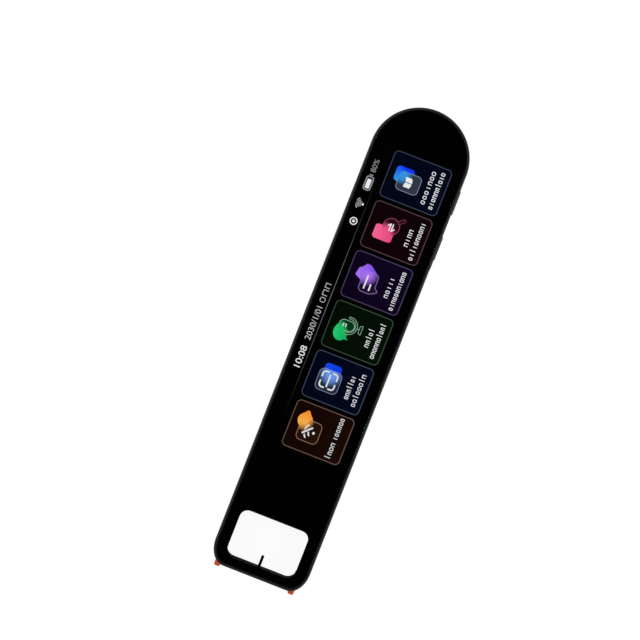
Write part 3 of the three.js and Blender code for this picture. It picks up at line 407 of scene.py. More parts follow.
# %% [markdown]
# ## Finishes
# Every finish starts from a Principled shader. Its colour, gloss and relief come from noise and other
# patterns that are read in the piece's own object coordinates, in metres, so a grain of a tenth of a
# millimetre is a noise scale of about ten thousand. No image is needed, and a pattern stays put when a key or
# the frame moves.

# %% Material helpers
def grow(tree, kind, feeds=(), **settings):
    """A node with its settings, and each named or numbered input fed by a link or a value."""
    made = tree.nodes.new(kind)
    for name, value in settings.items():
        setattr(made, name, value)
    for name, feed in dict(feeds).items():
        if isinstance(feed, bpy.types.NodeSocket):
            tree.links.new(feed, made.inputs[name])
        else:
            made.inputs[name].default_value = feed
    return made


def add(material, kind, feeds=(), **settings):
    return grow(material.node_tree, "ShaderNode" + kind, feeds, **settings)


def join(material, source, target):
    material.node_tree.links.new(source, target)


def empty_finish(name):
    """A material whose node tree is still empty."""
    material = bpy.data.materials.new(name)
    material.use_nodes = True
    material.node_tree.nodes.clear()
    print("finish:", name)
    return material


def new_finish(name, values=()):
    """A material with one Principled shader, and plain values for some of its inputs."""
    material = empty_finish(name)
    shader = add(material, "BsdfPrincipled", values)
    add(material, "OutputMaterial", {"Surface": shader.outputs[0]})
    return material, shader


def object_place(material, middle=(0, 0, 0), scale=(1, 1, 1)):
    """The piece's own coordinates, taken from a middle and scaled."""
    place = add(material, "TexCoord").outputs["Object"]
    shift = [-m * s for m, s in zip(middle, scale)]
    return add(material, "Mapping", {"Vector": place, "Location": shift, "Scale": scale}).outputs["Vector"]


def noise(material, vector, size, detail=3.0, roughness=0.5):
    """Noise whose features are about as large as size."""
    feeds = {"Vector": vector, "Scale": 1 / size, "Detail": detail, "Roughness": roughness}
    return add(material, "TexNoise", feeds).outputs["Fac"]


def spread(material, value, low, high, from_low=0.3, from_high=0.7):
    """Spreads a value over a range. Noise lies mostly between 0.3 and 0.7."""
    feeds = {"Value": value, "From Min": from_low, "From Max": from_high, "To Min": low, "To Max": high}
    return add(material, "MapRange", feeds).outputs["Result"]


def blend(material, factor, first, second):
    """A colour between two, each of them a link or a colour."""
    first, second = (end if isinstance(end, bpy.types.NodeSocket) else (*end, 1) for end in (first, second))
    return add(material, "Mix", {"Factor": factor, 6: first, 7: second}, data_type="RGBA").outputs[2]


def shade(colour, share):
    return tuple(c * share for c in colour)


def toned(material, pattern, colour, dark, pale):
    """A colour that a pattern makes uneven, from a darker share of it to a paler one."""
    return blend(material, spread(material, pattern, 0, 1), shade(colour, dark), shade(colour, pale))


def uneven_gloss(material, shader, pattern, gloss, smoother, rougher):
    """A roughness that a pattern moves round its mean."""
    join(material, spread(material, pattern, gloss - smoother, gloss + rougher), shader.inputs["Roughness"])


def relief(material, shader, height, depth):
    """Bump whose full height is depth."""
    bump = add(material, "Bump", {"Height": height, "Distance": depth, "Strength": 1.0})
    join(material, bump.outputs["Normal"], shader.inputs["Normal"])


def drifting(name, first, second, size, values):
    """A finish whose colour drifts softly between two."""
    material, shader = new_finish(name, values)
    drift = noise(material, object_place(material), size)
    join(material, blend(material, spread(material, drift, 0, 1), first, second), shader.inputs["Base Color"])
    return material, shader


# %% [markdown]
# ### Moulded plastic
# The shell, the back panel, the keys and the orange frame are moulded plastic with a spark-eroded grain,
# which the steel mould leaves on them. A fine noise gives the grain, a wider one makes the gloss uneven where
# hands have polished it, and a third shifts the colour by a few parts in a hundred. Along edges the grain is
# rubbed off first, so a Bevel node, which rounds the normal near an edge, finds the edges and lets them go
# paler.

# %% Moulded plastic
MATT_PLASTIC = 0.25
TONE_SIZE = 7 * MM
POLISH_SIZE = 11 * MM
POLISH_RANGE = 0.05
EDGE_WEAR = 0.25 * MM
FLAT = 0.99
BENT = 0.86
RUBBED_SHARE = 1.25
RUBBED_WHITE = 0.05


def moulded(name, colour, gloss, grain=0.16 * MM, depth=0.006 * MM, wear=0.35):
    """Plastic with a mean roughness, a grain of a size and a depth, and edges worn by a share."""
    material, shader = new_finish(name, {"Specular IOR Level": MATT_PLASTIC})
    place = object_place(material)
    base = toned(material, noise(material, place, TONE_SIZE), colour, 0.93, 1.07)
    soft = add(material, "Bevel", {"Radius": EDGE_WEAR}, samples=4).outputs["Normal"]
    flat = add(material, "NewGeometry").outputs["Normal"]
    turn = add(material, "VectorMath", {0: soft, 1: flat}, operation="DOT_PRODUCT").outputs["Value"]
    rubbed = spread(material, turn, wear, 0, BENT, FLAT)
    rubbed_colour = [c + RUBBED_WHITE * (1 - c) for c in shade(colour, RUBBED_SHARE)]
    join(material, blend(material, rubbed, base, rubbed_colour), shader.inputs["Base Color"])
    polish = noise(material, place, POLISH_SIZE, 4.0)
    uneven_gloss(material, shader, polish, gloss, POLISH_RANGE, POLISH_RANGE)
    relief(material, shader, noise(material, place, grain, 2.0), depth)
    return material


shell_finish = moulded("shell_moulded", (0.013, 0.013, 0.0135), 0.46, 0.12 * MM, 0.002 * MM, 0.08)
panel_finish = moulded("panel_moulded", (0.012, 0.012, 0.0125), 0.5, 0.2 * MM, wear=0.2)
deck_finish = moulded("deck_satin", (0.0125, 0.0125, 0.013), 0.44, 0.12 * MM, 0.003 * MM, 0.2)
key_finish = moulded("key_satin", (0.0105, 0.0105, 0.011), 0.34, 0.12 * MM, 0.003 * MM, 0.2)
orange_finish = moulded("orange_moulded", (0.75, 0.1, 0.036), 0.4, depth=0.004 * MM, wear=0.15)
inner_finish = moulded("inner_black", (0.009, 0.009, 0.0095), 0.55, depth=0.004 * MM, wear=0.2)

# %% [markdown]
# ### Glass
# The pane is a thin sheet of hardened glass. Real glass sends back about one part in twenty-five of the light
# that meets it square on, and almost all at a grazing angle. That is a Glossy shader mixed over a Transparent
# one by how far the surface is turned away, which shows the screen unbent, lets the lamps through to the
# print, and is the same from both sides of the pane. Wiped finger marks make its gloss slightly uneven.

# %% Glass
SQUARE_ON = 0.02
FRESNEL_POWER = 5
SMEAR_PULL = (1, 0.6, 1)
SMEAR_SIZE = 16 * MM


def clear_glass(name, tint, gloss, smear_size=SMEAR_SIZE, square_on=SQUARE_ON, sheen=(1, 1, 1), grazing=1):
    """tint is what passes, sheen what is mirrored, square on and grazing; gloss is a range of roughness."""
    material = empty_finish(name)
    through = add(material, "BsdfTransparent", {"Color": (*tint, 1)})
    smears = noise(material, object_place(material, scale=SMEAR_PULL), smear_size, 5.0, 0.6)
    rough = spread(material, smears, *gloss)
    mirror = add(material, "BsdfAnisotropic", {"Color": (*sheen, 1), "Roughness": rough})
    turned_away = add(material, "LayerWeight", {"Blend": 0.5}).outputs["Facing"]
    power = add(material, "Math", {0: turned_away, 1: FRESNEL_POWER}, operation="POWER").outputs[0]
    share = spread(material, power, square_on, grazing, 0, 1)
    mixed = add(material, "MixShader", {"Fac": share, 1: through.outputs[0], 2: mirror.outputs[0]})
    add(material, "OutputMaterial", {"Surface": mixed.outputs[0]})
    return material


pane_finish = clear_glass("cover_pane", (0.994, 0.998, 0.998), (0.02, 0.07))
glued_finish = clear_glass("pane_glued", (0.998, 0.998, 1), (0.1, 0.2), SMEAR_SIZE, 0, (0.2, 0.2, 0.2), 0.05)
ground_finish = clear_glass("pane_edge", (0.1, 0.1, 0.1), (0.45, 0.6), 2 * MM, 0.01, (0.5, 0.5, 0.5))
lens_finish = clear_glass("coated_lens", (0.88, 0.89, 0.9), (0.02, 0.06), 4 * MM, 0.015, (0.8, 0.86, 1))

# %% [markdown]
# ### Metals
# The camera ring and its dial are turned on a lathe, so the tool leaves rings round their axis. A Wave
# texture in rings, centred on the camera, makes them as relief. Such grooves pull a highlight into a bow tie,
# which the shader does by itself once its tangent runs round the axis. On the dial a bow-tie highlight is
# also painted into the colour: two opposite pale fans, drawn by the angle round the axis. Sheet steel is
# rolled, so its fine lines run one way: stretched noise.

# %% Turned metal
CAMERA_Y = (ring_low.y + ring_high.y) / 2
# The turn, side level and radii of the bow-tie highlight painted on the dial.
HIGHLIGHT_TURN = math.radians(23)
HIGHLIGHT_SIDES = 0.35
HIGHLIGHT_RADII = ((0, 1), (2.2, 1), (2.5, 0), (2.9, 0), (3.2, 1), (3.9, 1), (4.15, 0))
SPUN = 0.7
DRIFT_SIZE = 0.7 * MM


def painted_highlight_share(material, place):
    """1 in the two fans of the painted highlight: a swing with the angle, times a curve over the radius in
    millimetres.
    """
    turn = add(material, "TexGradient", {"Vector": place}, gradient_type="RADIAL").outputs["Fac"]
    twice = add(material, "Math", {0: turn, 1: 4 * math.pi, 2: -2 * HIGHLIGHT_TURN}, operation="MULTIPLY_ADD")
    swing = add(material, "Math", {0: twice.outputs[0]}, operation="COSINE").outputs[0]
    radius = add(material, "VectorMath", {0: place}, operation="LENGTH").outputs["Value"]
    zones = add(material, "FloatCurve", {"Value": spread(material, radius, 0, 1, 0, dial_high.x)})
    points = zones.mapping.curves[0].points
    points[-1].location = (1, 0)
    for distance, share in HIGHLIGHT_RADII:
        points.new(distance * MM / dial_high.x, share).handle_type = "VECTOR"
    zones.mapping.update()
    painted_glint = spread(material, swing, 0, 1, HIGHLIGHT_SIDES, 1)
    return add(material, "Math", {0: painted_glint, 1: zones.outputs[0]}, operation="MULTIPLY").outputs[0]


def turned_metal(name, colour, gloss, groove, depth, painted_highlight=None, metallic=1.0):
    material, shader = new_finish(name, {"Metallic": metallic, "Anisotropic": SPUN})
    round_axis = add(material, "Tangent", direction_type="RADIAL", axis="Z")
    join(material, round_axis.outputs[0], shader.inputs["Tangent"])
    place = object_place(material, (0, CAMERA_Y, 0))
    rings = add(material, "TexWave", {"Vector": place, "Scale": 1 / groove / 6, "Distortion": 0.0},
                wave_type="RINGS", rings_direction="Z")
    drift = noise(material, place, DRIFT_SIZE, 4.0)
    base = toned(material, drift, colour, 0.9, 1.08)
    if painted_highlight is not None:
        base = blend(material, painted_highlight_share(material, place), base, painted_highlight)
    join(material, base, shader.inputs["Base Color"])
    uneven_gloss(material, shader, drift, gloss, 0.04, 0.05)
    relief(material, shader, rings.outputs["Fac"], depth)
    return material


ring_finish = turned_metal("ring_turned", (0.15, 0.15, 0.155), 0.28, 0.09 * MM, 0.001 * MM)
# The dial is dark turned metal; its pale second colour is a painted highlight, two fans of a bow tie.
dial_and_highlight_finish = turned_metal("dial_turned_painted_highlight", (0.006, 0.006, 0.007), 0.26, 0.07 * MM, 0.002 * MM,
                           (0.66, 0.66, 0.67), 0.4)
print("the camera's axis is at y", round(CAMERA_Y / MM, 2), "mm")


# %% Rolled and plated metal
LINE_DEPTH = 0.002 * MM
LENGTHWISE = (1, 0.06, 1)


def rolled_metal(name, colour, gloss, lines=LENGTHWISE, size=0.12 * MM, metallic=1.0):
    material, shader = new_finish(name, {"Metallic": metallic})
    streaks = noise(material, object_place(material, scale=lines), size)
    join(material, toned(material, streaks, colour, 0.88, 1.08), shader.inputs["Base Color"])
    uneven_gloss(material, shader, streaks, gloss, 0.06, 0.08)
    relief(material, shader, streaks, LINE_DEPTH)
    return material


steel_finish = rolled_metal("rolled_steel", (0.52, 0.53, 0.55), 0.3)
plug_steel_finish = rolled_metal("socket_steel", (0.56, 0.57, 0.59), 0.24)
gold_finish = rolled_metal("contact_gold", (0.78, 0.55, 0.22), 0.25, (1, 0.1, 1))
foil_finish = rolled_metal("battery_pouch", (0.5, 0.51, 0.53), 0.42, (1, 1, 1), 1.6 * MM, 0.8)

# %% [markdown]
# ### Boards, ribbons and foam
# A circuit board is green lacquer over copper tracks, which show as slightly paler lines with a little
# height. A Brick texture gives long straight runs of them. The flat ribbons are amber film over the same kind
# of lines, and the speaker's foam is a Voronoi texture of small cells.

# %% Boards and ribbons
TRACK_DEPTH = 0.02 * MM
MOTTLE_SIZE = 3 * MM


def tracked(name, ground, track, gloss, wide, long, line):
    material, shader = new_finish(name)
    place = object_place(material)
    turn = add(material, "Mapping", {"Vector": place, "Rotation": (0, 0, QUARTER)})
    tracks = add(material, "TexBrick",
                 {"Vector": turn.outputs["Vector"], "Scale": 1.0, "Color1": (*ground, 1),
                  "Color2": (*shade(ground, 0.85), 1), "Mortar": (*track, 1), "Mortar Size": line,
                  "Brick Width": long, "Row Height": wide}, offset=0.5)
    join(material, tracks.outputs["Color"], shader.inputs["Base Color"])
    uneven_gloss(material, shader, noise(material, place, MOTTLE_SIZE), gloss, 0.05, 0.07)
    relief(material, shader, tracks.outputs["Fac"], TRACK_DEPTH)
    return material


board_finish = tracked("green_board", (0.01, 0.085, 0.035), (0.03, 0.16, 0.07), 0.3, 0.9 * MM, 6 * MM,
                       0.14 * MM)
ribbon_finish = tracked("amber_ribbon", (0.42, 0.17, 0.03), (0.6, 0.3, 0.09), 0.35, 0.5 * MM, 60 * MM,
                        0.1 * MM)


# %% Foam, film and lamp
CELL_GLOSS_SIZE = 4 * MM


def celled(name, colour, cell, gloss, depth, specular=0.5):
    material, shader = new_finish(name, {"Specular IOR Level": specular})
    place = object_place(material)
    voronoi = add(material, "TexVoronoi", {"Vector": place, "Scale": 1 / cell}, feature="F1")
    cells = voronoi.outputs["Distance"]
    tone = spread(material, cells, 0, 1, 0, 1)
    join(material, blend(material, tone, shade(colour, 0.8), shade(colour, 1.2)), shader.inputs["Base Color"])
    uneven_gloss(material, shader, noise(material, place, CELL_GLOSS_SIZE), gloss, 0.05, 0.05)
    relief(material, shader, cells, depth)
    return material


foam_finish = celled("black_foam", (0.013, 0.013, 0.013), 0.25 * MM, 0.85, 0.06 * MM)
film_finish = celled("white_film", (0.78, 0.78, 0.76), 0.5 * MM, 0.6, 0.004 * MM)
lamp_finish = celled("lamp_block", (0.84, 0.79, 0.6), 0.3 * MM, 0.4, 0.01 * MM)
wire_finish = rolled_metal("mesh_wire", (0.07, 0.07, 0.07), 0.55, (1, 1, 1), 0.3 * MM, 0.5)

# %% [markdown]
# ## The body shell
# One moulding holds everything: two side walls and a round end, a plate across the middle that carries the
# screen on one side and the boards on the other, and at the tip a well that the scanner looks through. Its
# outer skin is a stack of outlines with a quarter-round at the back edge and a small one at the rim. The rest
# is cut away, in the order in which a toolmaker would name the features.

# %% The shell's outer skin
BACK_STEPS = 10
levels = [(pen_outline(inset), drop) for inset, drop in reversed(edge_round(BACK_EDGE, BACK_STEPS))]
levels += [(pen_outline(inset), shell_high.z - drop) for inset, drop in edge_round(RIM_EDGE)]
housing = stack("body_shell", levels)
print("outer skin:", len(housing.data.vertices), "points")

# %% Seats for the glass, the screen and the back panel
TRAY_CLEARANCE = 0.3 * MM
TAIL_HALF = 4.3 * MM
TAIL_REACH = 1.65 * MM
tray_left = tray_low.x - TRAY_CLEARANCE
tray_right = tray_high.x + TRAY_CLEARANCE
tray_bottom = tray_low.y - TRAY_CLEARANCE
tray_top = tray_high.y + TRAY_CLEARANCE
cavity = [(-CAVITY_HALF, CAVITY_END), (CAVITY_HALF, CAVITY_END)]
cavity += arc((0, TOP_END - BODY_HALF), CAVITY_HALF, CAVITY_HALF, 0, 2 * QUARTER, ROUND_STEPS)
seats = [
    prism("glass_seat", pen_outline(RIM_WIDTH), print_low.z, glass_high.z + OVERRUN),
    block("tray_room", tray_left, tray_right, tray_bottom, tray_top, MIDPLATE_FRONT, glass_high.z),
    prism("cavity", cavity, -OVERRUN, MIDPLATE_BACK),
    prism("panel_seat", panel_outline(0, SLOT_TOP), -OVERRUN, panel_high.z),
    block("tail_slot", -TAIL_HALF, TAIL_HALF, tray_top - OVERRUN, screen_high.y + TAIL_REACH,
          board_high.z, print_low.z + OVERRUN),
]
carve(housing, seats)
print("shell with its seats:", len(housing.data.vertices), "points")

# %% Posts, spring seats and screw holes
POST_RADIUS = 1.6 * MM
HOLE_RADIUS = 0.7 * MM
HOLE_TIP = 0.15 * MM
SPRING_SEAT_HALF = 1.38 * MM
SPRING_SEAT_LOW = -50.2 * MM
SPRING_SEAT_HIGH = -48.7 * MM
BOARD_SCREWS = 4
SCAN_SCREWS = 2
screw_places = []
for kind, count, mouth in (("board", BOARD_SCREWS, board_high.z), ("scan", SCAN_SCREWS, MIDPLATE_BACK)):
    for number in range(1, count + 1):
        low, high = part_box(f"{kind}_screw_{number}")
        screw_places.append(((low + high) / 2, mouth))
posts = [
    prism(f"post_{i}", circle(middle.xy, POST_RADIUS), mouth, MIDPLATE_FRONT - HOLE_TIP)
    for i, (middle, mouth) in enumerate(screw_places[:BOARD_SCREWS])
]
for side in (-1, 1):
    middle = side * STEM_SIDE
    posts.append(block(f"seat_{side}", middle - SPRING_SEAT_HALF, middle + SPRING_SEAT_HALF, SPRING_SEAT_LOW,
                       SPRING_SEAT_HIGH, FRAME_BACK, MIDPLATE_FRONT - HOLE_TIP))
carve(housing, posts, "UNION")
carve(housing, [
    prism(f"hole_{i}", circle(middle.xy, HOLE_RADIUS, SMALL_STEPS), mouth - OVERRUN,
          MIDPLATE_FRONT - HOLE_TIP)
    for i, (middle, mouth) in enumerate(screw_places)
])
print("screw holes:", len(screw_places))

# %% The scan well, the frame's room and its slots
well_half = WINDOW_HALF + WELL_SIDE_MARGIN
well_low = WINDOW_LOW - WELL_END_MARGIN
well_top = WINDOW_TOP - WELL_END_MARGIN
SHROUD_HALF = 8.1 * MM
SHROUD_FRONT = 7.7 * MM
channel_half = STEM_WIDTH / 2 + FRAME_GAP
channel_front = FRAME_BACK + STEM_HEIGHT + FRAME_GAP
cuts = [
    prism("well", rectangle(-well_half, well_half, well_low, well_top, WINDOW_CORNER), -OVERRUN,
          print_low.z + OVERRUN),
    prism("frame_room", rectangle(-ROOM_HALF, ROOM_HALF, ROOM_LOW, ROOM_TOP, WINDOW_CORNER), -OVERRUN,
          ROOM_FRONT),
    block("square_foot", -ROOM_HALF, ROOM_HALF, ROOM_LOW, SLOT_TOP, -OVERRUN, ROOM_FRONT),
    block("shroud_opening", -SHROUD_HALF, SHROUD_HALF, well_top - OVERRUN, CAVITY_END + OVERRUN, 0,
          SHROUD_FRONT),
]
for side in (-1, 1):
    left, right = sorted((side * SLOT_INNER, side * SLOT_OUTER))
    middle = side * STEM_SIDE
    cuts.append(block(f"slot_{side}", left, right, TIP_END - OVERRUN, SLOT_TOP, -OVERRUN, SLOT_FRONT))
    cuts.append(block(f"channel_{side}", middle - channel_half, middle + channel_half, ROOM_TOP - OVERRUN,
                      CAVITY_END + OVERRUN, 0, channel_front))
carve(housing, cuts)
print("shell with its well:", len(housing.data.vertices), "points")

# %% Sockets and key slots in the walls
KEY_GAP = 0.15 * MM
KEY_HALF = 1.35 * MM
KEY_FLANGE = 0.6 * MM
KEY_STEPS = 12
SOCKET_STEPS = 14
SOCKET_CLEARANCE = 0.3 * MM
ROUND_ENDS = 0.999
MICROPHONE_TURN = math.radians(38.1)
MICROPHONE_HOLE = 0.4 * MM
MICROPHONE_Z = 5.05 * MM
power_low, power_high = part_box("power_key")
function_low, function_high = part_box("function_key")
key_z = (power_low.z + power_high.z) / 2
key_spans = {
    "power": (power_low.y + KEY_FLANGE, power_high.y - KEY_FLANGE),
    "function": (function_low.y + KEY_FLANGE, function_high.y - KEY_FLANGE),
}


def key_outline(span, margin):
    half = KEY_HALF + margin
    return rectangle(span[0] - margin, span[1] + margin, key_z - half, key_z + half, half * ROUND_ENDS,
                     KEY_STEPS)


def socket_outline(inset):
    middle = (socket_low.z + socket_high.z) / 2
    tall = (socket_high.z - socket_low.z) / 2 - inset
    half = socket_high.x - inset
    return rectangle(middle - tall, middle + tall, -half, half, tall * ROUND_ENDS,
                     SOCKET_STEPS)


def microphone_hole(reach):
    """A thin round bar that points from the round end's centre out through the wall."""
    out = Vector((math.sin(MICROPHONE_TURN), math.cos(MICROPHONE_TURN), 0))
    across = Vector((out.y, -out.x, 0))
    up = Vector((0, 0, 1))
    centre = Vector((0, TOP_END - BODY_HALF, MICROPHONE_Z))
    section = circle((0, 0), MICROPHONE_HOLE, SMALL_STEPS)
    rings = []
    for distance in (CAVITY_HALF - OVERRUN, CAVITY_HALF + reach):
        ring = [centre + out * distance + across * a + up * b for a, b in section]
        rings.append(list(reversed(ring)))
    return loft("microphone_hole", rings)


wall_cuts = [microphone_hole(SIDE_WALL + OVERRUN)]
socket_inner = TOP_END - BODY_HALF + math.sqrt(CAVITY_HALF**2 - (socket_high.x + SOCKET_CLEARANCE) ** 2)
wall_cuts.append(prism("socket_hole", socket_outline(-SOCKET_CLEARANCE), socket_inner - OVERRUN,
                       TOP_END + OVERRUN, "y"))
for name, span in key_spans.items():
    wall_cuts.append(prism(f"{name}_slot", key_outline(span, KEY_GAP), CAVITY_HALF - OVERRUN,
                           BODY_HALF + OVERRUN, "x"))
carve(housing, wall_cuts)
print("openings in the walls:", len(wall_cuts))

# %% The well's own finish
WELL_SPECULAR = 0.05
WELL_REACH = 0.1 * MM
well_finish = celled("well_matte", (0.003, 0.003, 0.003), 0.2 * MM, 0.92, 0.01 * MM, WELL_SPECULAR)
housing.data.materials.clear()
for finish in (shell_finish, well_finish):
    housing.data.materials.append(finish)
lined = 0
for face in housing.data.polygons:
    x, y, z = face.center
    beside_well = abs(x) > well_half + WELL_REACH or not well_low - WELL_REACH < y < well_top + WELL_REACH
    if not beside_well and z < print_low.z:
        face.material_index = 1
        lined += 1
print("well faces:", lined)
give(housing, None, ["housing"])

# %% [markdown]
# ## The cover glass and its print
# One pane covers the whole front. Behind it a black print leaves two places clear: the screen, and the window
# in the tip, with a short tick that marks the middle of the line to be read. The pane's edge is ground round.
# Its underside is glued down with clear film, so it hardly mirrors, and the screen stays as black as the
# print.

# %% Cover glass
GLUE = 0.02 * MM
FACES_OUT = 0.99
levels = [(pen_outline(GLASS_INSET), glass_low.z + GLUE)]
levels += [(pen_outline(GLASS_INSET + inset), glass_high.z - drop) for inset, drop in edge_round(GLASS_EDGE)]
pane = stack("glass_pane", levels)
for finish in (pane_finish, ground_finish, glued_finish):
    pane.data.materials.append(finish)
for face in pane.data.polygons:
    if face.normal.z < -FACES_OUT:
        face.material_index = 2
    elif face.normal.z < FACES_OUT:
        face.material_index = 1
give(pane, None, ["cover_glass"])

# %% Print behind the glass
TICK_HALF = 0.46 * MM
TICK_LENGTH = 4.2 * MM
LIT_MARGIN = 0.1 * MM
LIT_CORNER = 1 * MM
PRINT_GRAIN = 0.4 * MM
BEHIND_GLASS = 0.02
lit_half = screen_high.x - LIT_MARGIN
lit_low = screen_low.y + LIT_MARGIN
lit_high = screen_high.y - LIT_MARGIN
print_finish, print_shader = drifting("print_black", (0.0002, 0.0002, 0.00025), (0.0005, 0.0005, 0.0005),
                                      5 * MM, {"Specular IOR Level": BEHIND_GLASS})
print_grain = noise(print_finish, object_place(print_finish), PRINT_GRAIN)
join(print_finish, spread(print_finish, print_grain, 0.25, 0.35), print_shader.inputs["Roughness"])
glass_print = prism("glass_print", pen_outline(GLASS_INSET), print_low.z, print_high.z)
clear_window = rectangle(-WINDOW_HALF, WINDOW_HALF, WINDOW_LOW, WINDOW_TOP, WINDOW_CORNER)
lit_outline = rectangle(-lit_half, lit_half, lit_low, lit_high, LIT_CORNER)
tick_outline = [(TICK_HALF, WINDOW_LOW - OVERRUN)]
tick_outline += arc((0, WINDOW_LOW + TICK_LENGTH - TICK_HALF), TICK_HALF, TICK_HALF, 0, 2 * QUARTER)
tick_outline += [(-TICK_HALF, WINDOW_LOW - OVERRUN)]
carve(glass_print, [
    prism("window_cut", clear_window, print_low.z - OVERRUN, print_high.z + OVERRUN),
    prism("lit_cut", lit_outline, print_low.z - OVERRUN, print_high.z + OVERRUN),
])
carve(glass_print, [prism("tick", tick_outline, print_low.z, print_high.z)], "UNION")
give(glass_print, print_finish, ["bezel_print"])

# %% [markdown]
# ## The lit screen
# Behind the clear place in the print lies the screen. Its picture is a column of six tiles, each with a small
# pictogram and a caption, and a status strip along the left edge. The screen is read with the pen held
# sideways, so everything on it is turned a quarter. Light from a screen is emission: each mark is a flat
# sheet in its own shallow layer in the tenth of a millimetre between screen and glass, black to lamps and lit
# by itself. The pictograms are plain common signs, the captions are bars that stand for words, and the digits
# are plain ones.

# %% Colours of the picture
PIXEL = 0.1 * MM
PIXEL_GAP = PIXEL / 12
GAP_LIGHT = 0.7


def ink(red, green, blue):
    """A colour as a screen counts it, 0 to 255, made linear for the shader by the standard curve."""
    counts = (red, green, blue)
    return tuple(((c / 255 + 0.055) / 1.055) ** 2.4 if c > 10 else c / 255 / 12.92 for c in counts)


def lit_shader(name):
    """A screen colour: black to lamps, with the fine grid of the pixels over what it emits."""
    material, shader = new_finish(name, {"Base Color": (0, 0, 0, 1), "Specular IOR Level": 0,
                                         "Roughness": 0.5, "Emission Strength": 1})
    place = object_place(material)
    grid = add(material, "TexBrick",
               {"Vector": place, "Scale": 1.0, "Color1": (1, 1, 1, 1), "Color2": (1, 1, 1, 1),
                "Mortar": (GAP_LIGHT, GAP_LIGHT, GAP_LIGHT, 1), "Mortar Size": PIXEL_GAP,
                "Brick Width": PIXEL, "Row Height": PIXEL}, offset=0.0)
    over = add(material, "Mix", {"Factor": 1, 7: grid.outputs["Color"]}, data_type="RGBA",
               blend_type="MULTIPLY")
    join(material, over.outputs[2], shader.inputs["Emission Color"])
    return material, place, over.inputs[6]


def lit_blend(name, first, second, start, end):
    """A lit colour that runs from first at one point to second at another."""
    material, place, target = lit_shader(name)
    way = Vector(end) - Vector(start)
    step = way / way.length_squared
    along = add(material, "VectorMath", {0: place, 1: step.to_3d()}, operation="DOT_PRODUCT").outputs["Value"]
    here = Vector(start).dot(way) / way.length_squared
    join(material, blend(material, spread(material, along, 0, 1, here, here + 1), first, second), target)
    return material


# %% [markdown]
# ### Node trees
# Things that repeat come from Geometry Nodes. A tree is written once with named inputs for its sizes, and is
# then run with the values of one place. Its result is read back as a plain mesh, so nothing stays live.

# %% Geometry Nodes helpers
SOCKET_KINDS = {
    "count": "NodeSocketInt",
    "length": "NodeSocketFloat",
    "place": "NodeSocketVector",
    "choice": "NodeSocketBool",
    "material": "NodeSocketMaterial",
}


def new_tree(name, **inputs):
    tree = bpy.data.node_groups.new(name, "GeometryNodeTree")
    tree.interface.new_socket("Geometry", in_out="INPUT", socket_type="NodeSocketGeometry")
    for label, kind in inputs.items():
        tree.interface.new_socket(label, in_out="INPUT", socket_type=SOCKET_KINDS[kind])
    tree.interface.new_socket("Geometry", in_out="OUTPUT", socket_type="NodeSocketGeometry")
    return tree, tree.nodes.new("NodeGroupInput").outputs


def sum_of(tree, first, second, operation="ADD"):
    return grow(tree, "ShaderNodeMath", {0: first, 1: second}, operation=operation).outputs[0]


def times(tree, first, second):
    return sum_of(tree, first, second, "MULTIPLY")


def less(tree, first, second):
    return sum_of(tree, first, second, "SUBTRACT")


def vector_of(tree, **parts):
    """A vector from its X, Y and Z; a part left out is zero."""
    return grow(tree, "ShaderNodeCombineXYZ", parts).outputs[0]


def row_of_spots(tree, count, first, **step):
    feeds = {"Count": count, "Start Location": first, "Offset": vector_of(tree, **step)}
    return grow(tree, "GeometryNodeMeshLine", feeds).outputs[0]


def on_spots(tree, spots, item, choice=()):
    """A copy of an item on each spot, or of one of several by choice."""
    feeds = {"Points": spots, "Instance": item, **dict(choice)}
    return grow(tree, "GeometryNodeInstanceOnPoints", feeds).outputs[0]


def moved(tree, geometry, place, turn=(0, 0, 0)):
    feeds = {"Geometry": geometry, "Translation": place, "Rotation": turn}
    return grow(tree, "GeometryNodeTransform", feeds).outputs[0]


def wire_along(tree, path, radius, sides):
    """A round wire swept along a path, with closed ends."""
    section = grow(tree, "GeometryNodeCurvePrimitiveCircle", {"Resolution": sides, "Radius": radius})
    feeds = {"Curve": path, "Profile Curve": section.outputs[0], "Fill Caps": True}
    return grow(tree, "GeometryNodeCurveToMesh", feeds).outputs[0]


def joined(tree, *parts):
    made = tree.nodes.new("GeometryNodeJoinGeometry")
    for part in reversed(parts):
        tree.links.new(part, made.inputs[0])
    return made.outputs[0]


def finish_tree(tree, geometry, material):
    """Every tree ends by making its instances real and giving them their material."""
    real = grow(tree, "GeometryNodeRealizeInstances", {"Geometry": geometry})
    painted = grow(tree, "GeometryNodeSetMaterial", {"Geometry": real.outputs[0], "Material": material})
    grow(tree, "NodeGroupOutput", {0: painted.outputs[0]})
    print(tree.name, "is a tree of", len(tree.nodes), "nodes")


def run_tree(name, tree, **values):
    piece = show(name, bpy.data.meshes.new(name))
    step = piece.modifiers.new(name, "NODES")
    step.node_group = tree
    for item in tree.interface.items_tree:
        if item.in_out == "INPUT" and item.name in values:
            step[item.identifier] = values[item.name]
    return settle(piece)


def face_up(piece):
    """Turns a flat sheet's faces towards the glass."""
    piece.data.update()
    if sum(face.normal.z for face in piece.data.polygons) < 0:
        piece.data.flip_normals()
    return piece


# %% The tree for a column of tiles
CARD_CORNER_STEPS = 10


def rounded_card(tree, width, height, corner):
    card = grow(tree, "GeometryNodeCurvePrimitiveQuadrilateral", {"Width": width, "Height": height})
    feeds = {"Curve": card.outputs[0], "Radius": corner, "Count": CARD_CORNER_STEPS}
    return grow(tree, "GeometryNodeFilletCurve", feeds, mode="POLY").outputs[0]


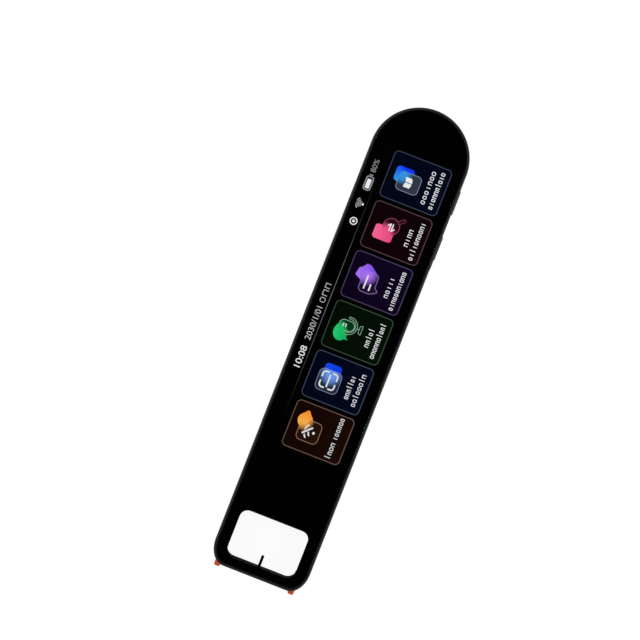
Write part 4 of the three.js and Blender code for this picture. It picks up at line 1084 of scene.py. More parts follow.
tile_tree, given = new_tree("tile_column", Count="count", Pitch="length", Width="length", Height="length",
                            Corner="length", Border="length", Hollow="choice", First="place",
                            Finish="material")
spots = row_of_spots(tile_tree, given["Count"], given["First"], Y=times(tile_tree, given["Pitch"], -1.0))
both_sides = times(tile_tree, given["Border"], 2.0)
outer_card = rounded_card(tile_tree, given["Width"], given["Height"], given["Corner"])
inner_card = rounded_card(tile_tree, less(tile_tree, given["Width"], both_sides),
                          less(tile_tree, given["Height"], both_sides),
                          less(tile_tree, given["Corner"], given["Border"]))
card_lines = grow(tile_tree, "GeometryNodeSwitch",
                  {"Switch": given["Hollow"], "False": outer_card,
                   "True": joined(tile_tree, outer_card, inner_card)}, input_type="GEOMETRY")
card = grow(tile_tree, "GeometryNodeFillCurve", {"Curve": card_lines.outputs[0]})
finish_tree(tile_tree, on_spots(tile_tree, spots, card.outputs[0]), given["Finish"])

# %% [markdown]
# ### Tiles
# The tiles share one material for their fills and one for their thin frames. A colour ramp along the screen
# changes at the gaps between the tiles, so each tile has its own dark tint without having its own material.

# %% Tiles and their frames
TILE_COUNT = 6
TILE_PITCH = 17.07 * MM
TILE_WIDTH = 19.65 * MM
TILE_HEIGHT = 15.75 * MM
TILE_CORNER = 1.6 * MM
TILE_BORDER = 0.28 * MM
TILE_X = 1.97 * MM
TILE_FIRST_Y = 56.05 * MM
TILE_BRIGHT = 1.15
LAYER = 0.01 * MM
picture_z = screen_high.z
tile_middles = [TILE_FIRST_Y - TILE_PITCH * i for i in range(TILE_COUNT)]
fill_inks = [(3, 9, 26), (18, 4, 8), (15, 6, 30), (4, 16, 6), (4, 8, 27), (23, 9, 4)]
frame_inks = [(58, 64, 82), (84, 62, 70), (72, 64, 96), (56, 76, 60), (62, 70, 90), (104, 80, 70)]


def lit_by_tile(name, inks, far_side):
    """One colour for each tile, dimmed or not towards the side away from the captions."""
    material, place, target = lit_shader(name)
    split = add(material, "SeparateXYZ", {0: place})
    along = spread(material, split.outputs["Y"], 0, 1, screen_low.y, screen_high.y)
    ramp = add(material, "ValToRGB", {0: along})
    ramp.color_ramp.interpolation = "CONSTANT"
    marks = ramp.color_ramp.elements
    for number, colour in enumerate(reversed(inks)):
        edge = tile_middles[TILE_COUNT - 1 - number] - TILE_PITCH / 2
        share = 0 if number == 0 else (edge - screen_low.y) / (screen_high.y - screen_low.y)
        mark = marks[number] if number < 2 else marks.new(share)
        mark.position = share
        mark.color = (*ink(*colour), 1)
    fade = spread(material, split.outputs["X"], far_side, TILE_BRIGHT, TILE_X - TILE_WIDTH / 2,
                  TILE_X + TILE_WIDTH / 2)
    faded = add(material, "VectorMath", {0: ramp.outputs["Color"], "Scale": fade}, operation="SCALE")
    join(material, faded.outputs[0], target)
    return material


tile_sizes = dict(Count=TILE_COUNT, Pitch=TILE_PITCH, Width=TILE_WIDTH, Height=TILE_HEIGHT,
                  Corner=TILE_CORNER, Border=TILE_BORDER)
for name, finish_name, layer, hollow, inks, far_side in (
    ("screen_tiles", "lit_tiles", 1, False, fill_inks, 0.85),
    ("screen_tile_frames", "lit_frames", 2, True, frame_inks, 1.0),
):
    first = (TILE_X, TILE_FIRST_Y, picture_z + layer * LAYER)
    tiles = run_tree(name, tile_tree, First=first, Hollow=hollow,
                     Finish=lit_by_tile(finish_name, inks, far_side), **tile_sizes)
    give(face_up(tiles), None)

# %% [markdown]
# ### Captions
# Under each pictogram a tile has a caption in one or two lines. The captions are made of bars, small boxes
# and arches, as a page designer blocks in text before it is written. One tree lays a row of them: for each
# place it picks one of the blocks by a seeded random number.

# %% The tree for a row of caption blocks
row_tree, given = new_tree("caption_row", Count="count", Advance="length", Tall="length", Rise="length",
                           Stroke="length", First="place", Seed="count", Finish="material")
spots = row_of_spots(row_tree, given["Count"], given["First"], Y=given["Advance"])
both_strokes = times(row_tree, given["Stroke"], 2.0)
BOX_CORNER = 0.35


def laid_on_line(curve, height, aside=0.0):
    """A filled outline that stands on the row's line; the words' upward direction is the pen's -X."""
    filled = grow(row_tree, "GeometryNodeFillCurve", {"Curve": curve})
    return moved(row_tree, filled.outputs[0], vector_of(row_tree, X=times(row_tree, height, -0.5), Y=aside))


def caption_box(share):
    """A hollow box as wide as a share of the advance."""
    wide = times(row_tree, given["Advance"], share)
    outer = rounded_card(row_tree, given["Tall"], wide, times(row_tree, wide, BOX_CORNER))
    hole = rounded_card(row_tree, less(row_tree, given["Tall"], both_strokes),
                        less(row_tree, wide, both_strokes), 0.0)
    return laid_on_line(joined(row_tree, outer, hole), given["Tall"])


def caption_arch(share):
    """Two posts and the bar that joins their tops."""
    wide = times(row_tree, given["Advance"], share)
    reach = times(row_tree, less(row_tree, wide, given["Stroke"]), 0.5)
    post = rounded_card(row_tree, given["Tall"], given["Stroke"], 0.0)
    top = rounded_card(row_tree, given["Stroke"], less(row_tree, wide, both_strokes), 0.0)
    top_height = less(row_tree, times(row_tree, given["Tall"], 2.0), given["Stroke"])
    return joined(row_tree, laid_on_line(post, given["Tall"], reach),
                  laid_on_line(post, given["Tall"], times(row_tree, reach, -1.0)),
                  laid_on_line(top, top_height))


def caption_bar(height):
    return laid_on_line(rounded_card(row_tree, height, given["Stroke"], 0.0), height)


blocks = (caption_box(0.8), caption_arch(0.8), caption_bar(given["Rise"]),
          caption_box(0.7), caption_arch(0.7), caption_bar(given["Tall"]))
shapes = [grow(row_tree, "GeometryNodeGeometryToInstance", {0: part}).outputs[0] for part in blocks]
pick = grow(row_tree, "FunctionNodeRandomValue", {"Seed": given["Seed"], 4: 0, 5: len(blocks) - 1},
            data_type="INT")
row = on_spots(row_tree, spots, joined(row_tree, *shapes),
               {"Pick Instance": True, "Instance Index": pick.outputs[2]})
finish_tree(row_tree, row, given["Finish"])

# %% Captions
CAPTION_TALL = 1.3 * MM
CAPTION_RISE = 1.95 * MM
CAPTION_STROKE = 0.25 * MM
UPPER_LINE = 6.92 * MM
LOWER_LINE = 9.83 * MM
SINGLE_LINE = 8.5 * MM
CAPTION_SEED = 4
# Each word is its line, its start and end beside the tile's middle in millimetres, and its count of blocks.
caption_words = [
    [(UPPER_LINE, -5.7, 5.7, 7), (LOWER_LINE, -6.3, 6.3, 10)],
    [(UPPER_LINE, -3.1, 2.8, 4), (LOWER_LINE, -6.7, 6.3, 10)],
    [(UPPER_LINE, -3.7, 3.5, 5), (LOWER_LINE, -6.8, 6.4, 11)],
    [(UPPER_LINE, -3.5, 3.0, 5), (LOWER_LINE, -6.2, 5.8, 10)],
    [(UPPER_LINE, -4.2, 3.9, 7), (LOWER_LINE, -5.7, 5.4, 8)],
    [(SINGLE_LINE, -7.1, -1.4, 4), (SINGLE_LINE, -0.6, 7.0, 6)],
]


def lit_column(name, tip_end, round_end):
    """A lit colour that runs from the tip end of the screen to the round end."""
    return lit_blend(name, ink(*tip_end), ink(*round_end), (0, screen_low.y), (0, screen_high.y))


def merge(name, pieces):
    """Puts several meshes into one piece."""
    work = bmesh.new()
    for piece in pieces:
        work.from_mesh(piece.data)
    merged = show(name, bpy.data.meshes.new(name))
    work.to_mesh(merged.data)
    work.free()
    for piece in pieces:
        discard(piece)
    return merged


def word(base, start, end, count, tall, finish, seed):
    """A row of blocks from start to end along the pen, standing on the line at x = base."""
    advance = (end - start) / count
    first = (base, start + advance / 2, picture_z + 2 * LAYER)
    return face_up(run_tree("word", row_tree, Count=count, Advance=advance, Tall=tall,
                            Rise=tall * CAPTION_RISE / CAPTION_TALL, Stroke=CAPTION_STROKE, First=first,
                            Seed=seed, Finish=finish))


white_ink = lit_column("lit_white", (226, 228, 232), (248, 249, 250))
rows = []
for middle, words in zip(tile_middles, caption_words):
    for base, start, end, count in words:
        seed = CAPTION_SEED + len(rows)
        rows.append(word(base, middle + start * MM, middle + end * MM, count, CAPTION_TALL, white_ink, seed))
give(merge("screen_captions", rows), white_ink)

# %% [markdown]
# ### Pictograms
# Each tile has a soft coloured shape and, laid over it, a smoked card or outline through which the colour
# glows, with a common sign in white: a book, a magnifier, a speech bubble, a microphone, a viewfinder and a
# crossed-out signal. They are drawn upright in their own small plane, in millimetres, u to the right and v
# upward from the pictogram's middle, and are then turned a quarter with the rest of the picture.

# %% Flat drawing helpers
SHAPE, CARD, WHITE, EDGE = range(4)
SHAPE_LAYER, CARD_LAYER, EDGE_LAYER, SIGN, SIGN_FILL, OVER, TOP = range(3, 10)
CAP_STEPS = 8


def fill(outline):
    return outline, [tuple(range(len(outline)))]


def band(outline, inner):
    count = len(outline)
    faces = [(i, (i + 1) % count, count + (i + 1) % count, count + i) for i in range(count)]
    return outline + inner, faces


def beside(points, width, closed):
    """The two edges of a line of even width along some points."""
    right = []
    left = []
    last = len(points) - 1
    for i, here in enumerate(points):
        before = points[i - 1] if i or closed else here
        after = points[(i + 1) % len(points)] if i < last or closed else here
        way = (after - before).normalized()
        side = Vector((way.y, -way.x)) * (width / 2)
        right.append(tuple(here + side))
        left.append(tuple(here - side))
    return right, left


def loop(outline, width):
    """A line along a closed outline."""
    return band(*beside([Vector(p) for p in outline], width, True))


def stroke(path, width):
    """A line with round ends along a path."""
    half = width / 2
    points = [Vector(p) for p in path]
    right, left = beside(points, width, False)
    first = points[1] - points[0]
    last = points[-1] - points[-2]
    end = math.atan2(last.y, last.x) - QUARTER
    start = math.atan2(first.y, first.x) + QUARTER
    end_cap = arc(path[-1], half, half, end, end + 2 * QUARTER, CAP_STEPS)[1:-1]
    start_cap = arc(path[0], half, half, start, start + 2 * QUARTER, CAP_STEPS)[1:-1]
    return fill(right + end_cap + left[::-1] + start_cap)


def drawing(name, marks, inks, middle):
    """Flat marks, each (shape, layer, ink), drawn upright round a middle and turned a quarter."""
    points = []
    faces = []
    numbers = []
    for (outline, polygons), layer, number in marks:
        start = len(points)
        points += [(middle[0] - v * MM, middle[1] + u * MM, picture_z + layer * LAYER) for u, v in outline]
        faces += [tuple(start + i for i in polygon) for polygon in polygons]
        numbers += [number] * len(polygons)
    piece = mesh_piece(name, points, faces)
    for colour in inks:
        piece.data.materials.append(colour)
    for face, number in zip(piece.data.polygons, numbers):
        face.material_index = number
    return give(piece, None)


# %% One pictogram
PICTOGRAM_X = -0.9 * MM
LINE = 0.5
THIN = 0.24
GLOW_CORE = 0.35


def lit_glow(name, ground, glow, middle, reach):
    """A lit colour that glows round a middle, as smoked glass does over a lamp."""
    material, place, target = lit_shader(name)
    away = add(material, "VectorMath", {0: place, 1: (*middle, picture_z)}, operation="DISTANCE")
    near = spread(material, away.outputs["Value"], 1, 0, reach * GLOW_CORE, reach)
    join(material, blend(material, near, ground, glow), target)
    return material


def pictogram(tile, name, shape, tones, card, glass, sign):
    """tones: two colours and the points they belong to; glass: ground, glow, its place and reach, edge."""
    pale, deep, start, end = tones
    ground, glow, place, reach, edge = glass
    middle_y = tile_middles[tile]
    start, end, place = [(PICTOGRAM_X - v * MM, middle_y + u * MM) for u, v in (start, end, place)]
    inks = [
        lit_blend(f"lit_{name}_shape", ink(*pale), ink(*deep), start, end),
        lit_glow(f"lit_{name}_card", ink(*ground), ink(*glow), place, reach * MM),
        white_ink,
        lit_glow(f"lit_{name}_edge", ink(*edge), ink(*glow), place, reach * MM),
    ]
    marks = [(fill(shape), SHAPE_LAYER, SHAPE), (fill(card), CARD_LAYER, CARD),
             (loop(card, THIN), EDGE_LAYER, EDGE)]
    drawing(f"screen_{name}", marks + sign, inks, (PICTOGRAM_X, middle_y))


# %% A book and a magnifier
pages = [
    rounded([(-2.45, -1.45, 0.2), (-0.95, -1.85, 0.1), (-0.95, 0.35, 0.1), (-2.45, 0.75, 0.2)], 4),
    rounded([(-0.7, -1.85, 0.1), (0.8, -1.45, 0.2), (0.8, 0.75, 0.2), (-0.7, 0.35, 0.1)], 4),
]
pictogram(0, "book", rectangle(-1.5, 3.55, -1.5, 4.45, 1.1, 10),
          ((48, 158, 245), (18, 60, 248), (-1.4, 3.2), (3.2, 1.6)),
          rectangle(-3.9, 2.2, -4.35, 2.9, 1.3, 10),
          ((50, 57, 72), (60, 152, 232), (1, 1.9), 3.2, (128, 134, 148)),
          [(fill(page), SIGN, WHITE) for page in pages])
exchange = [(stroke(path, 0.38), layer, WHITE) for path, layer in (
    ([(-0.1, -0.35), (2, -0.35)], OVER),
    ([(1.35, 0.4), (2.1, -0.35)], TOP),
    ([(0, -1.1), (2.1, -1.1)], OVER),
    ([(-0.1, -1.1), (0.65, -1.85)], TOP),
)]
handle = [(3.3, -2.7), (4.4, -3.9)]
pictogram(1, "magnifier", rectangle(-3.9, 0.85, -2.2, 4.2, 1, 10),
          ((255, 104, 156), (240, 78, 132), (-1.4, 4), (-1.4, -2)),
          circle((1.3, -0.65), 2.65),
          ((44, 10, 25), (240, 86, 138), (-0.8, 0.5), 3.2, (150, 66, 98)),
          [(stroke(handle, 1.15), SIGN, EDGE), (stroke(handle, 0.9), SIGN_FILL, CARD)] + exchange)

# %% A speech bubble and a microphone
tag = [(0.2, 4.55, 0.3), (-0.9, 2.4, 0.3), (-1.2, -2, 0.5), (1.6, -2.6, 0.6), (2.9, -1.6, 0.5),
       (4.55, 0.7, 0.4), (4.65, 2.05, 0.3), (3.3, 3, 0.4), (2.7, 4, 0.3)]
bubble = [(2.5, 2.15, 1.3), (-4.3, 2.15, 1.3), (-4.3, -1.8, 0.9), (-3, -4.2, 0.3), (-1.8, -2.9, 0.3),
          (2.5, -2.9, 1.4)]
pictogram(2, "bubble", rounded(tag, 8),
          ((182, 122, 252), (112, 76, 238), (0.6, 4.6), (2.8, -2.2)),
          rounded(bubble, 8),
          ((30, 14, 48), (172, 116, 246), (1.5, 1), 3.9, (136, 112, 168)),
          [(stroke(path, LINE), SIGN, WHITE) for path in ([(-3.05, 0.5), (1.1, 0.5)],
                                                          [(-3.2, -1.28), (-1.35, -1.28)])])
leaf = arc((-1.6, 2.2), 2.9, 2.35, -1.24 * QUARTER, 2.54 * QUARTER, 40) + [(-3.5, -0.85)]
cradle = [(-1.46, 0.85)] + arc((1.04, 0.45), 2.5, 2.5, 2 * QUARTER, 4 * QUARTER, 24) + [(3.54, 0.85)]
foot = rounded([(-0.6, -4, 0.2), (2.7, -4, 0.2), (2.1, -3.1, 0.2), (0, -3.1, 0.2)], 4)
pictogram(3, "microphone", leaf,
          ((34, 212, 116), (20, 178, 92), (-2, 4.6), (-1.6, 0)),
          rectangle(-0.65, 2.55, -1.45, 3.6, 1.59, 12),
          ((8, 54, 28), (36, 190, 104), (-0.6, 2.9), 2.7, (132, 176, 146)),
          [(stroke(cradle, 0.84), SIGN, EDGE), (stroke(cradle, 0.42), SIGN_FILL, CARD),
           (stroke([(1.04, -2.5), (1.04, -3.1)], 0.3), SIGN, EDGE), (loop(foot, 0.2), SIGN, EDGE),
           (stroke([(0.45, 2.2), (1.3, 2.2)], 0.32), OVER, WHITE),
           (stroke([(0.45, 1.35), (1.3, 1.35)], 0.32), OVER, WHITE)])

# %% A viewfinder and a crossed-out signal
bend = arc((-2.25, 1.65), 0.9, 0.9, QUARTER, 2 * QUARTER, 8)
bracket = [(-1.3, 2.55)] + bend + [(-3.15, 0.9)]
brackets = [[(u, v) for u, v in bracket], [(-1.1 - u, v) for u, v in bracket],
            [(u, 0.2 - v) for u, v in bracket], [(-1.1 - u, 0.2 - v) for u, v in bracket]]
pictogram(4, "viewfinder", rectangle(0.6, 4.85, -2.75, 2.7, 1, 10),
          ((20, 76, 244), (16, 62, 226), (4, 3), (4, -2.6)),
          rectangle(-4.25, 2.8, -3.7, 3.75, 1.6, 10),
          ((34, 42, 58), (112, 154, 240), (1.5, -0.1), 3.9, (118, 128, 150)),
          [(stroke(path, LINE), SIGN, WHITE) for path in brackets + [[(-2.55, 0.1), (1.3, 0.1)]]])
egg = arc((2, 2.35), 2.4, 2.45, 0.4 * QUARTER, 3.6 * QUARTER, 32)
egg += arc((4.75, 2.25), 0.6, 0.6, -0.6 * QUARTER, 0.6 * QUARTER, 8)
root = (-0.9, -1.6)
waves = [arc(root, radius, radius, 0.55 * QUARTER, 1.5 * QUARTER, 16) for radius in (1.7, 3)]
crossing = [(-1.9, 1.85), (0.5, -0.7)]
pictogram(5, "signal_off", egg,
          ((255, 184, 84), (255, 150, 44), (0, 3), (4.6, 2)),
          rectangle(-4.3, 2.6, -3.6, 3.5, 1.5, 10),
          ((38, 18, 8), (255, 176, 78), (2, 2.7), 3.4, (146, 108, 90)),
          [(stroke(wave, LINE), SIGN, WHITE) for wave in waves]
          + [(fill(circle(root, 0.44, 20)), SIGN, WHITE), (stroke(crossing, 1.2), SIGN_FILL, CARD),
             (stroke(crossing, 0.56), OVER, WHITE)])

# %% [markdown]
# ### Status strip
# The strip has the time, the date, a signal sign, a battery and its charge. The digits are Blender's own
# text, made a mesh and stretched to the length that the strip gives them. The line between strip and tiles
# fades out at both ends.

# %% Digits
STATUS_X = -12.15 * MM
DIGITS_TALL = 2.1 * MM
grey_ink = lit_column("lit_grey", (196, 198, 202), (170, 172, 178))
dim_ink = lit_column("lit_dim", (176, 178, 182), (140, 142, 146))


def digits(name, figures, start, end, share, weight, finish):
    """Plain digits that read up the strip, between two places on it in millimetres."""
    curve = bpy.data.curves.new(name, "FONT")
    curve.body = figures
    curve.offset = weight
    text = show(name, curve)
    bpy.context.view_layer.update()
    graph = bpy.context.evaluated_depsgraph_get()
    mesh = bpy.data.meshes.new_from_object(text.evaluated_get(graph), depsgraph=graph)
    bpy.data.objects.remove(text)
    bpy.data.curves.remove(curve)
    start, end = start * MM, end * MM
    height = DIGITS_TALL * share
    spots = [v.co.copy() for v in mesh.vertices]
    left = min(p.x for p in spots)
    wide = max(p.x for p in spots) - left
    low = min(p.y for p in spots)
    tall = max(p.y for p in spots) - low
    for vertex in mesh.vertices:
        along = (vertex.co.x - left) / wide
        up = (vertex.co.y - low) / tall - 0.5
        vertex.co = (STATUS_X - up * height, start + along * (end - start), picture_z + LAYER)
    mesh.name = name
    mesh.materials.clear()
    return give(face_up(show(name, mesh)), finish)


digits("screen_time", "10:08", -12.3, -5.2, 1, 0.007, white_ink)
digits("screen_date", "2030/1/01", -3, 8.2, 0.92, 0.002, grey_ink)
digits("screen_charge", "80%", 54.35, 58.65, 0.82, 0, dim_ink)

# %% The weekday
WEEKDAY_LOW = 9.4 * MM
WEEKDAY_HIGH = 16.5 * MM
WEEKDAY_BLOCKS = 3
WEEKDAY_SHARE = 0.84
WEEKDAY_SEED = 12
weekday_tall = DIGITS_TALL * WEEKDAY_SHARE
weekday = word(STATUS_X + weekday_tall / 2, WEEKDAY_LOW, WEEKDAY_HIGH, WEEKDAY_BLOCKS, weekday_tall, grey_ink,
               WEEKDAY_SEED)
give(merge("screen_weekday", [weekday]), grey_ink)

# %% Battery and signal signs
BATTERY_Y = 50.6 * MM
SIGNAL_Y = 43.6 * MM
SIGN_Y = 37.6 * MM
battery = [
    (loop(rectangle(-2.25, 2.15, -1.1, 1.1, 0.65, 8), 0.42), 1, 1),
    (fill(rectangle(-1.75, 1.35, -0.65, 0.65, 0.2, 6)), 2, 0),
    (fill(rectangle(2.55, 2.95, -0.6, 0.6, 0.18, 6)), 1, 1),
]
drawing("screen_battery", battery, [white_ink, dim_ink], (STATUS_X, BATTERY_Y))
signal = [(fill(circle((0, -0.8), 0.36, 20)), 2, 0)]
for radius in (0.9, 1.55, 2.2):
    signal.append((stroke(arc((0, -0.8), radius, radius, QUARTER * 0.5, QUARTER * 1.5, 20), 0.32), 1, 1))
drawing("screen_signal", signal, [white_ink, grey_ink], (STATUS_X, SIGNAL_Y))
ring_sign = [(loop(circle((0, 0), 1.1, 40), 0.34), 1, 0), (fill(circle((0, 0), 0.45, 20)), 1, 0)]
drawing("screen_sign", ring_sign, [white_ink], (STATUS_X, SIGN_Y))

# %% The fading line
DIVIDER_X = -10.12 * MM
DIVIDER_HALF = 0.09 * MM
DIVIDER_LOW = -34 * MM
DIVIDER_HIGH = 58 * MM
DIVIDER_FADE = 46 * MM
DIVIDER_POWER = 2
line_finish, line_place, line_target = lit_shader("lit_divider")
line_y = add(line_finish, "SeparateXYZ", {0: line_place}).outputs["Y"]
rise = spread(line_finish, line_y, 0, 1, DIVIDER_LOW, DIVIDER_LOW + DIVIDER_FADE)
fall = spread(line_finish, line_y, 1, 0, DIVIDER_HIGH - DIVIDER_FADE, DIVIDER_HIGH)
lower = add(line_finish, "Math", {0: rise, 1: fall}, operation="MULTIPLY").outputs[0]
softer = add(line_finish, "Math", {0: lower, 1: DIVIDER_POWER}, operation="POWER").outputs[0]
join(line_finish, blend(line_finish, softer, (0, 0, 0), ink(128, 128, 131)), line_target)
line_outline = rectangle(DIVIDER_X - DIVIDER_HALF, DIVIDER_X + DIVIDER_HALF, DIVIDER_LOW, DIVIDER_HIGH)
line = mesh_piece("screen_divider", [(x, y, picture_z + LAYER) for x, y in line_outline], [(0, 1, 2, 3)])
give(line, line_finish)

# %% [markdown]
# ## The back panel
# The back is closed by one flat panel in a narrow groove. Its edge is rounded, so that the groove reads as a
# soft line, and it opens for the camera deck and for the scan well. Round the well it steps down by a third
# of a millimetre, and a tab at the head of the well is the dark bar seen above the window.

# %% Back panel
PANEL_EDGE = 0.18 * MM
STEP_DEPTH = 0.35 * MM
STEP_MARGIN = 1 * MM
OPENING_HALF = WINDOW_HALF + 0.7 * MM
OPENING_TOP = WINDOW_TOP - 0.65 * MM
TAB_HALF = 8 * MM
TAB_DROP = 0.7 * MM
DECK_GAP = 0.15 * MM
DECK_FLANGE = 0.9 * MM
SHOULDER_RISE = 7.5 * MM
SHOULDER_CUT = 6.1 * MM
SHOULDER_RADIUS = 8 * MM
FOOT_RADIUS = 6 * MM


def deck_outline(inset):
    half = deck_high.x - DECK_FLANGE - inset
    top = deck_high.y - DECK_FLANGE - inset
    low = deck_low.y + DECK_FLANGE + inset
    shoulder = deck_low.y + DECK_FLANGE + SHOULDER_RISE
    flat = deck_high.x - DECK_FLANGE - SHOULDER_CUT - inset / 2
    corners = [(half, top, 0), (-half, top, 0), (-half, shoulder, SHOULDER_RADIUS), (-flat, low, FOOT_RADIUS),
               (flat, low, FOOT_RADIUS), (half, shoulder, SHOULDER_RADIUS)]
    return arc((0, top - half), half, half, 0, 2 * QUARTER, ROUND_STEPS) + rounded(corners)[2:]


def well_opening(half, top, corner):
    low = panel_low.y - OVERRUN
    return rounded([(-half, low, 0), (half, low, 0), (half, top, corner), (-half, top, corner)])


levels = [
    (panel_outline(PANEL_GROOVE + inset, panel_low.y), drop)
    for inset, drop in reversed(edge_round(PANEL_EDGE))
]
levels.append((panel_outline(PANEL_GROOVE, panel_low.y), panel_high.z))
back_panel = stack("back_plate", levels)
opening = prism("opening", well_opening(OPENING_HALF, OPENING_TOP, WINDOW_CORNER), -OVERRUN,
                panel_high.z + OVERRUN)
carve(opening, [block("tab", -TAB_HALF, TAB_HALF, OPENING_TOP - TAB_DROP, OPENING_TOP + OVERRUN, -2 * OVERRUN,
                      panel_high.z + 2 * OVERRUN)])
step = prism("step", well_opening(OPENING_HALF + STEP_MARGIN, OPENING_TOP + STEP_MARGIN,
                                  WINDOW_CORNER + STEP_MARGIN), -OVERRUN, STEP_DEPTH)
deck_hole = prism("deck_hole", deck_outline(-DECK_GAP), -OVERRUN, panel_high.z + OVERRUN)
carve(back_panel, [opening, step, deck_hole])
give(back_panel, panel_finish, ["back_panel"])

# %% [markdown]
# ## The camera deck
# The deck is a raised island that carries the speaker and the camera. Its edge is rounded, and inside the
# edge runs a shallow valley, steep on its inner side, which is deepest round the head and fades away lower
# down. Such a face can be skinned over rings of the same outline whose height changes from point to point. A
# soft collar leads up to the camera ring.

# %% Deck body
DECK_EDGE = 0.35 * MM
BAND_INNER = 2.6 * MM
BAND_SLOPE = 0.4 * MM
BAND_DROP = 0.4 * MM
BAND_OUTER = 0.3
BAND_STEPS = 6
BAND_FADE_LOW = 52 * MM
BAND_FADE_HIGH = 70 * MM
COLLAR_OUTER = 6.7 * MM
COLLAR_INNER = 5.75 * MM
COLLAR_RISE = 0.26 * MM
COLLAR_FOOT = 0.01 * MM
COLLAR_STEPS = 8
MESH_GAP = 0.15 * MM
RING_GAP = 0.1 * MM
RING_FLANGE = 0.8 * MM
ring_radius = ring_high.x - RING_FLANGE


def ease(share):
    share = max(0, min(1, share))
    return share * share * (3 - 2 * share)


def deck_ring(inset, band_share, down):
    """One ring of the deck's face: band_share lowers it where the band lies, down is the edge's own drop."""
    ring = []
    for x, y in deck_outline(inset):
        drop = BAND_DROP * band_share * ease((y - BAND_FADE_LOW) / (BAND_FADE_HIGH - BAND_FADE_LOW))
        ring.append((x, y, deck_low.z + drop + down))
    return ring


valley = BAND_INNER - BAND_SLOPE
rings = []
for i in range(BAND_STEPS + 1):
    rings.append(deck_ring(BAND_INNER - BAND_SLOPE * i / BAND_STEPS, ease(i / BAND_STEPS), 0))
for i in range(1, BAND_STEPS):
    rings.append(deck_ring(valley - (valley - DECK_EDGE) * i / BAND_STEPS,
                           1 - (1 - BAND_OUTER) * ease(i / BAND_STEPS), 0))
rings += [deck_ring(inset, BAND_OUTER, drop) for inset, drop in reversed(edge_round(DECK_EDGE))]
rings.append([(x, y, deck_high.z) for x, y in deck_outline(0)])
deck = loft("deck", rings)
flange = prism("flange", deck_outline(-DECK_FLANGE), panel_high.z, deck_high.z)
collar = [(COLLAR_OUTER, deck_low.z + COLLAR_FOOT)]
for i in range(1, COLLAR_STEPS + 1):
    collar.append((COLLAR_OUTER - (COLLAR_OUTER - COLLAR_INNER) * i / COLLAR_STEPS,
                   deck_low.z - COLLAR_RISE * (i / COLLAR_STEPS) ** 2))
collar += [(ring_radius, deck_low.z - COLLAR_RISE), (ring_radius, deck_low.z + OVERRUN)]
collar += [(COLLAR_OUTER, deck_low.z + OVERRUN)]
carve(deck, [flange, turned("collar", collar, CAMERA_Y)], "UNION")
carve(deck, [
    block("pocket", -mesh_high.x - MESH_GAP, mesh_high.x + MESH_GAP, mesh_low.y - MESH_GAP,
          mesh_high.y + MESH_GAP, mesh_low.z, deck_high.z + OVERRUN),
    prism("ring_bore", circle((0, CAMERA_Y), ring_radius + RING_GAP, TURN_STEPS), deck_low.z - 2 * OVERRUN,
          deck_high.z + OVERRUN),
])
print("deck:", len(deck.data.vertices), "points, for a ring", round(2 * ring_radius / MM, 2), "mm across")

# %% [markdown]
# ### Speaker holes
# The grille is a block of drilled holes with its corners left out. A Geometry Nodes tree lays one drill,
# which is a pin with a flared mouth for the countersink, on the points of a grid, and drops the corner
# points. The result is used as a cutter, so the holes are real and sound could pass.

# %% Speaker holes
DRILL_SIDES = 24
drill_tree, given = new_tree("grille_drills", Columns="count", Rows="count", Across="length",
                             Lengthwise="length", Radius="length", Flare="length", Depth="length",
                             Middle="place", Finish="material")
wide = times(drill_tree, less(drill_tree, given["Columns"], 1.0), given["Across"])
tall = times(drill_tree, less(drill_tree, given["Rows"], 1.0), given["Lengthwise"])
grid = grow(drill_tree, "GeometryNodeMeshGrid",
            {"Size X": wide, "Size Y": tall, "Vertices X": given["Columns"], "Vertices Y": given["Rows"]})
spot = grow(drill_tree, "GeometryNodeInputPosition")
split = grow(drill_tree, "ShaderNodeSeparateXYZ", {0: spot.outputs[0]})
sides = []
for axis, size, pitch in (("X", wide, given["Across"]), ("Y", tall, given["Lengthwise"])):
    reach = less(drill_tree, times(drill_tree, size, 0.5), times(drill_tree, pitch, 0.5))
    away = sum_of(drill_tree, split.outputs[axis], 0.0, "ABSOLUTE")
    beyond = grow(drill_tree, "FunctionNodeCompare", {0: away, 1: reach}, operation="GREATER_THAN")
    sides.append(beyond.outputs[0])
in_corner = grow(drill_tree, "FunctionNodeBooleanMath", {0: sides[0], 1: sides[1]}, operation="AND")
elsewhere = grow(drill_tree, "FunctionNodeBooleanMath", {0: in_corner.outputs[0]}, operation="NOT")
dots = grow(drill_tree, "GeometryNodeMeshToPoints",
            {"Mesh": grid.outputs[0], "Selection": elsewhere.outputs[0]})
mouth = grow(drill_tree, "GeometryNodeMeshCone",
             {"Vertices": DRILL_SIDES, "Radius Top": given["Radius"], "Depth": given["Flare"],
              "Radius Bottom": sum_of(drill_tree, given["Radius"], given["Flare"])})
shaft = grow(drill_tree, "GeometryNodeExtrudeMesh",
             {"Mesh": mouth.outputs["Mesh"], "Selection": mouth.outputs["Top"],
              "Offset Scale": given["Depth"]}, mode="FACES")
drills = on_spots(drill_tree, dots.outputs[0], shaft.outputs["Mesh"])
finish_tree(drill_tree, moved(drill_tree, drills, given["Middle"]), given["Finish"])

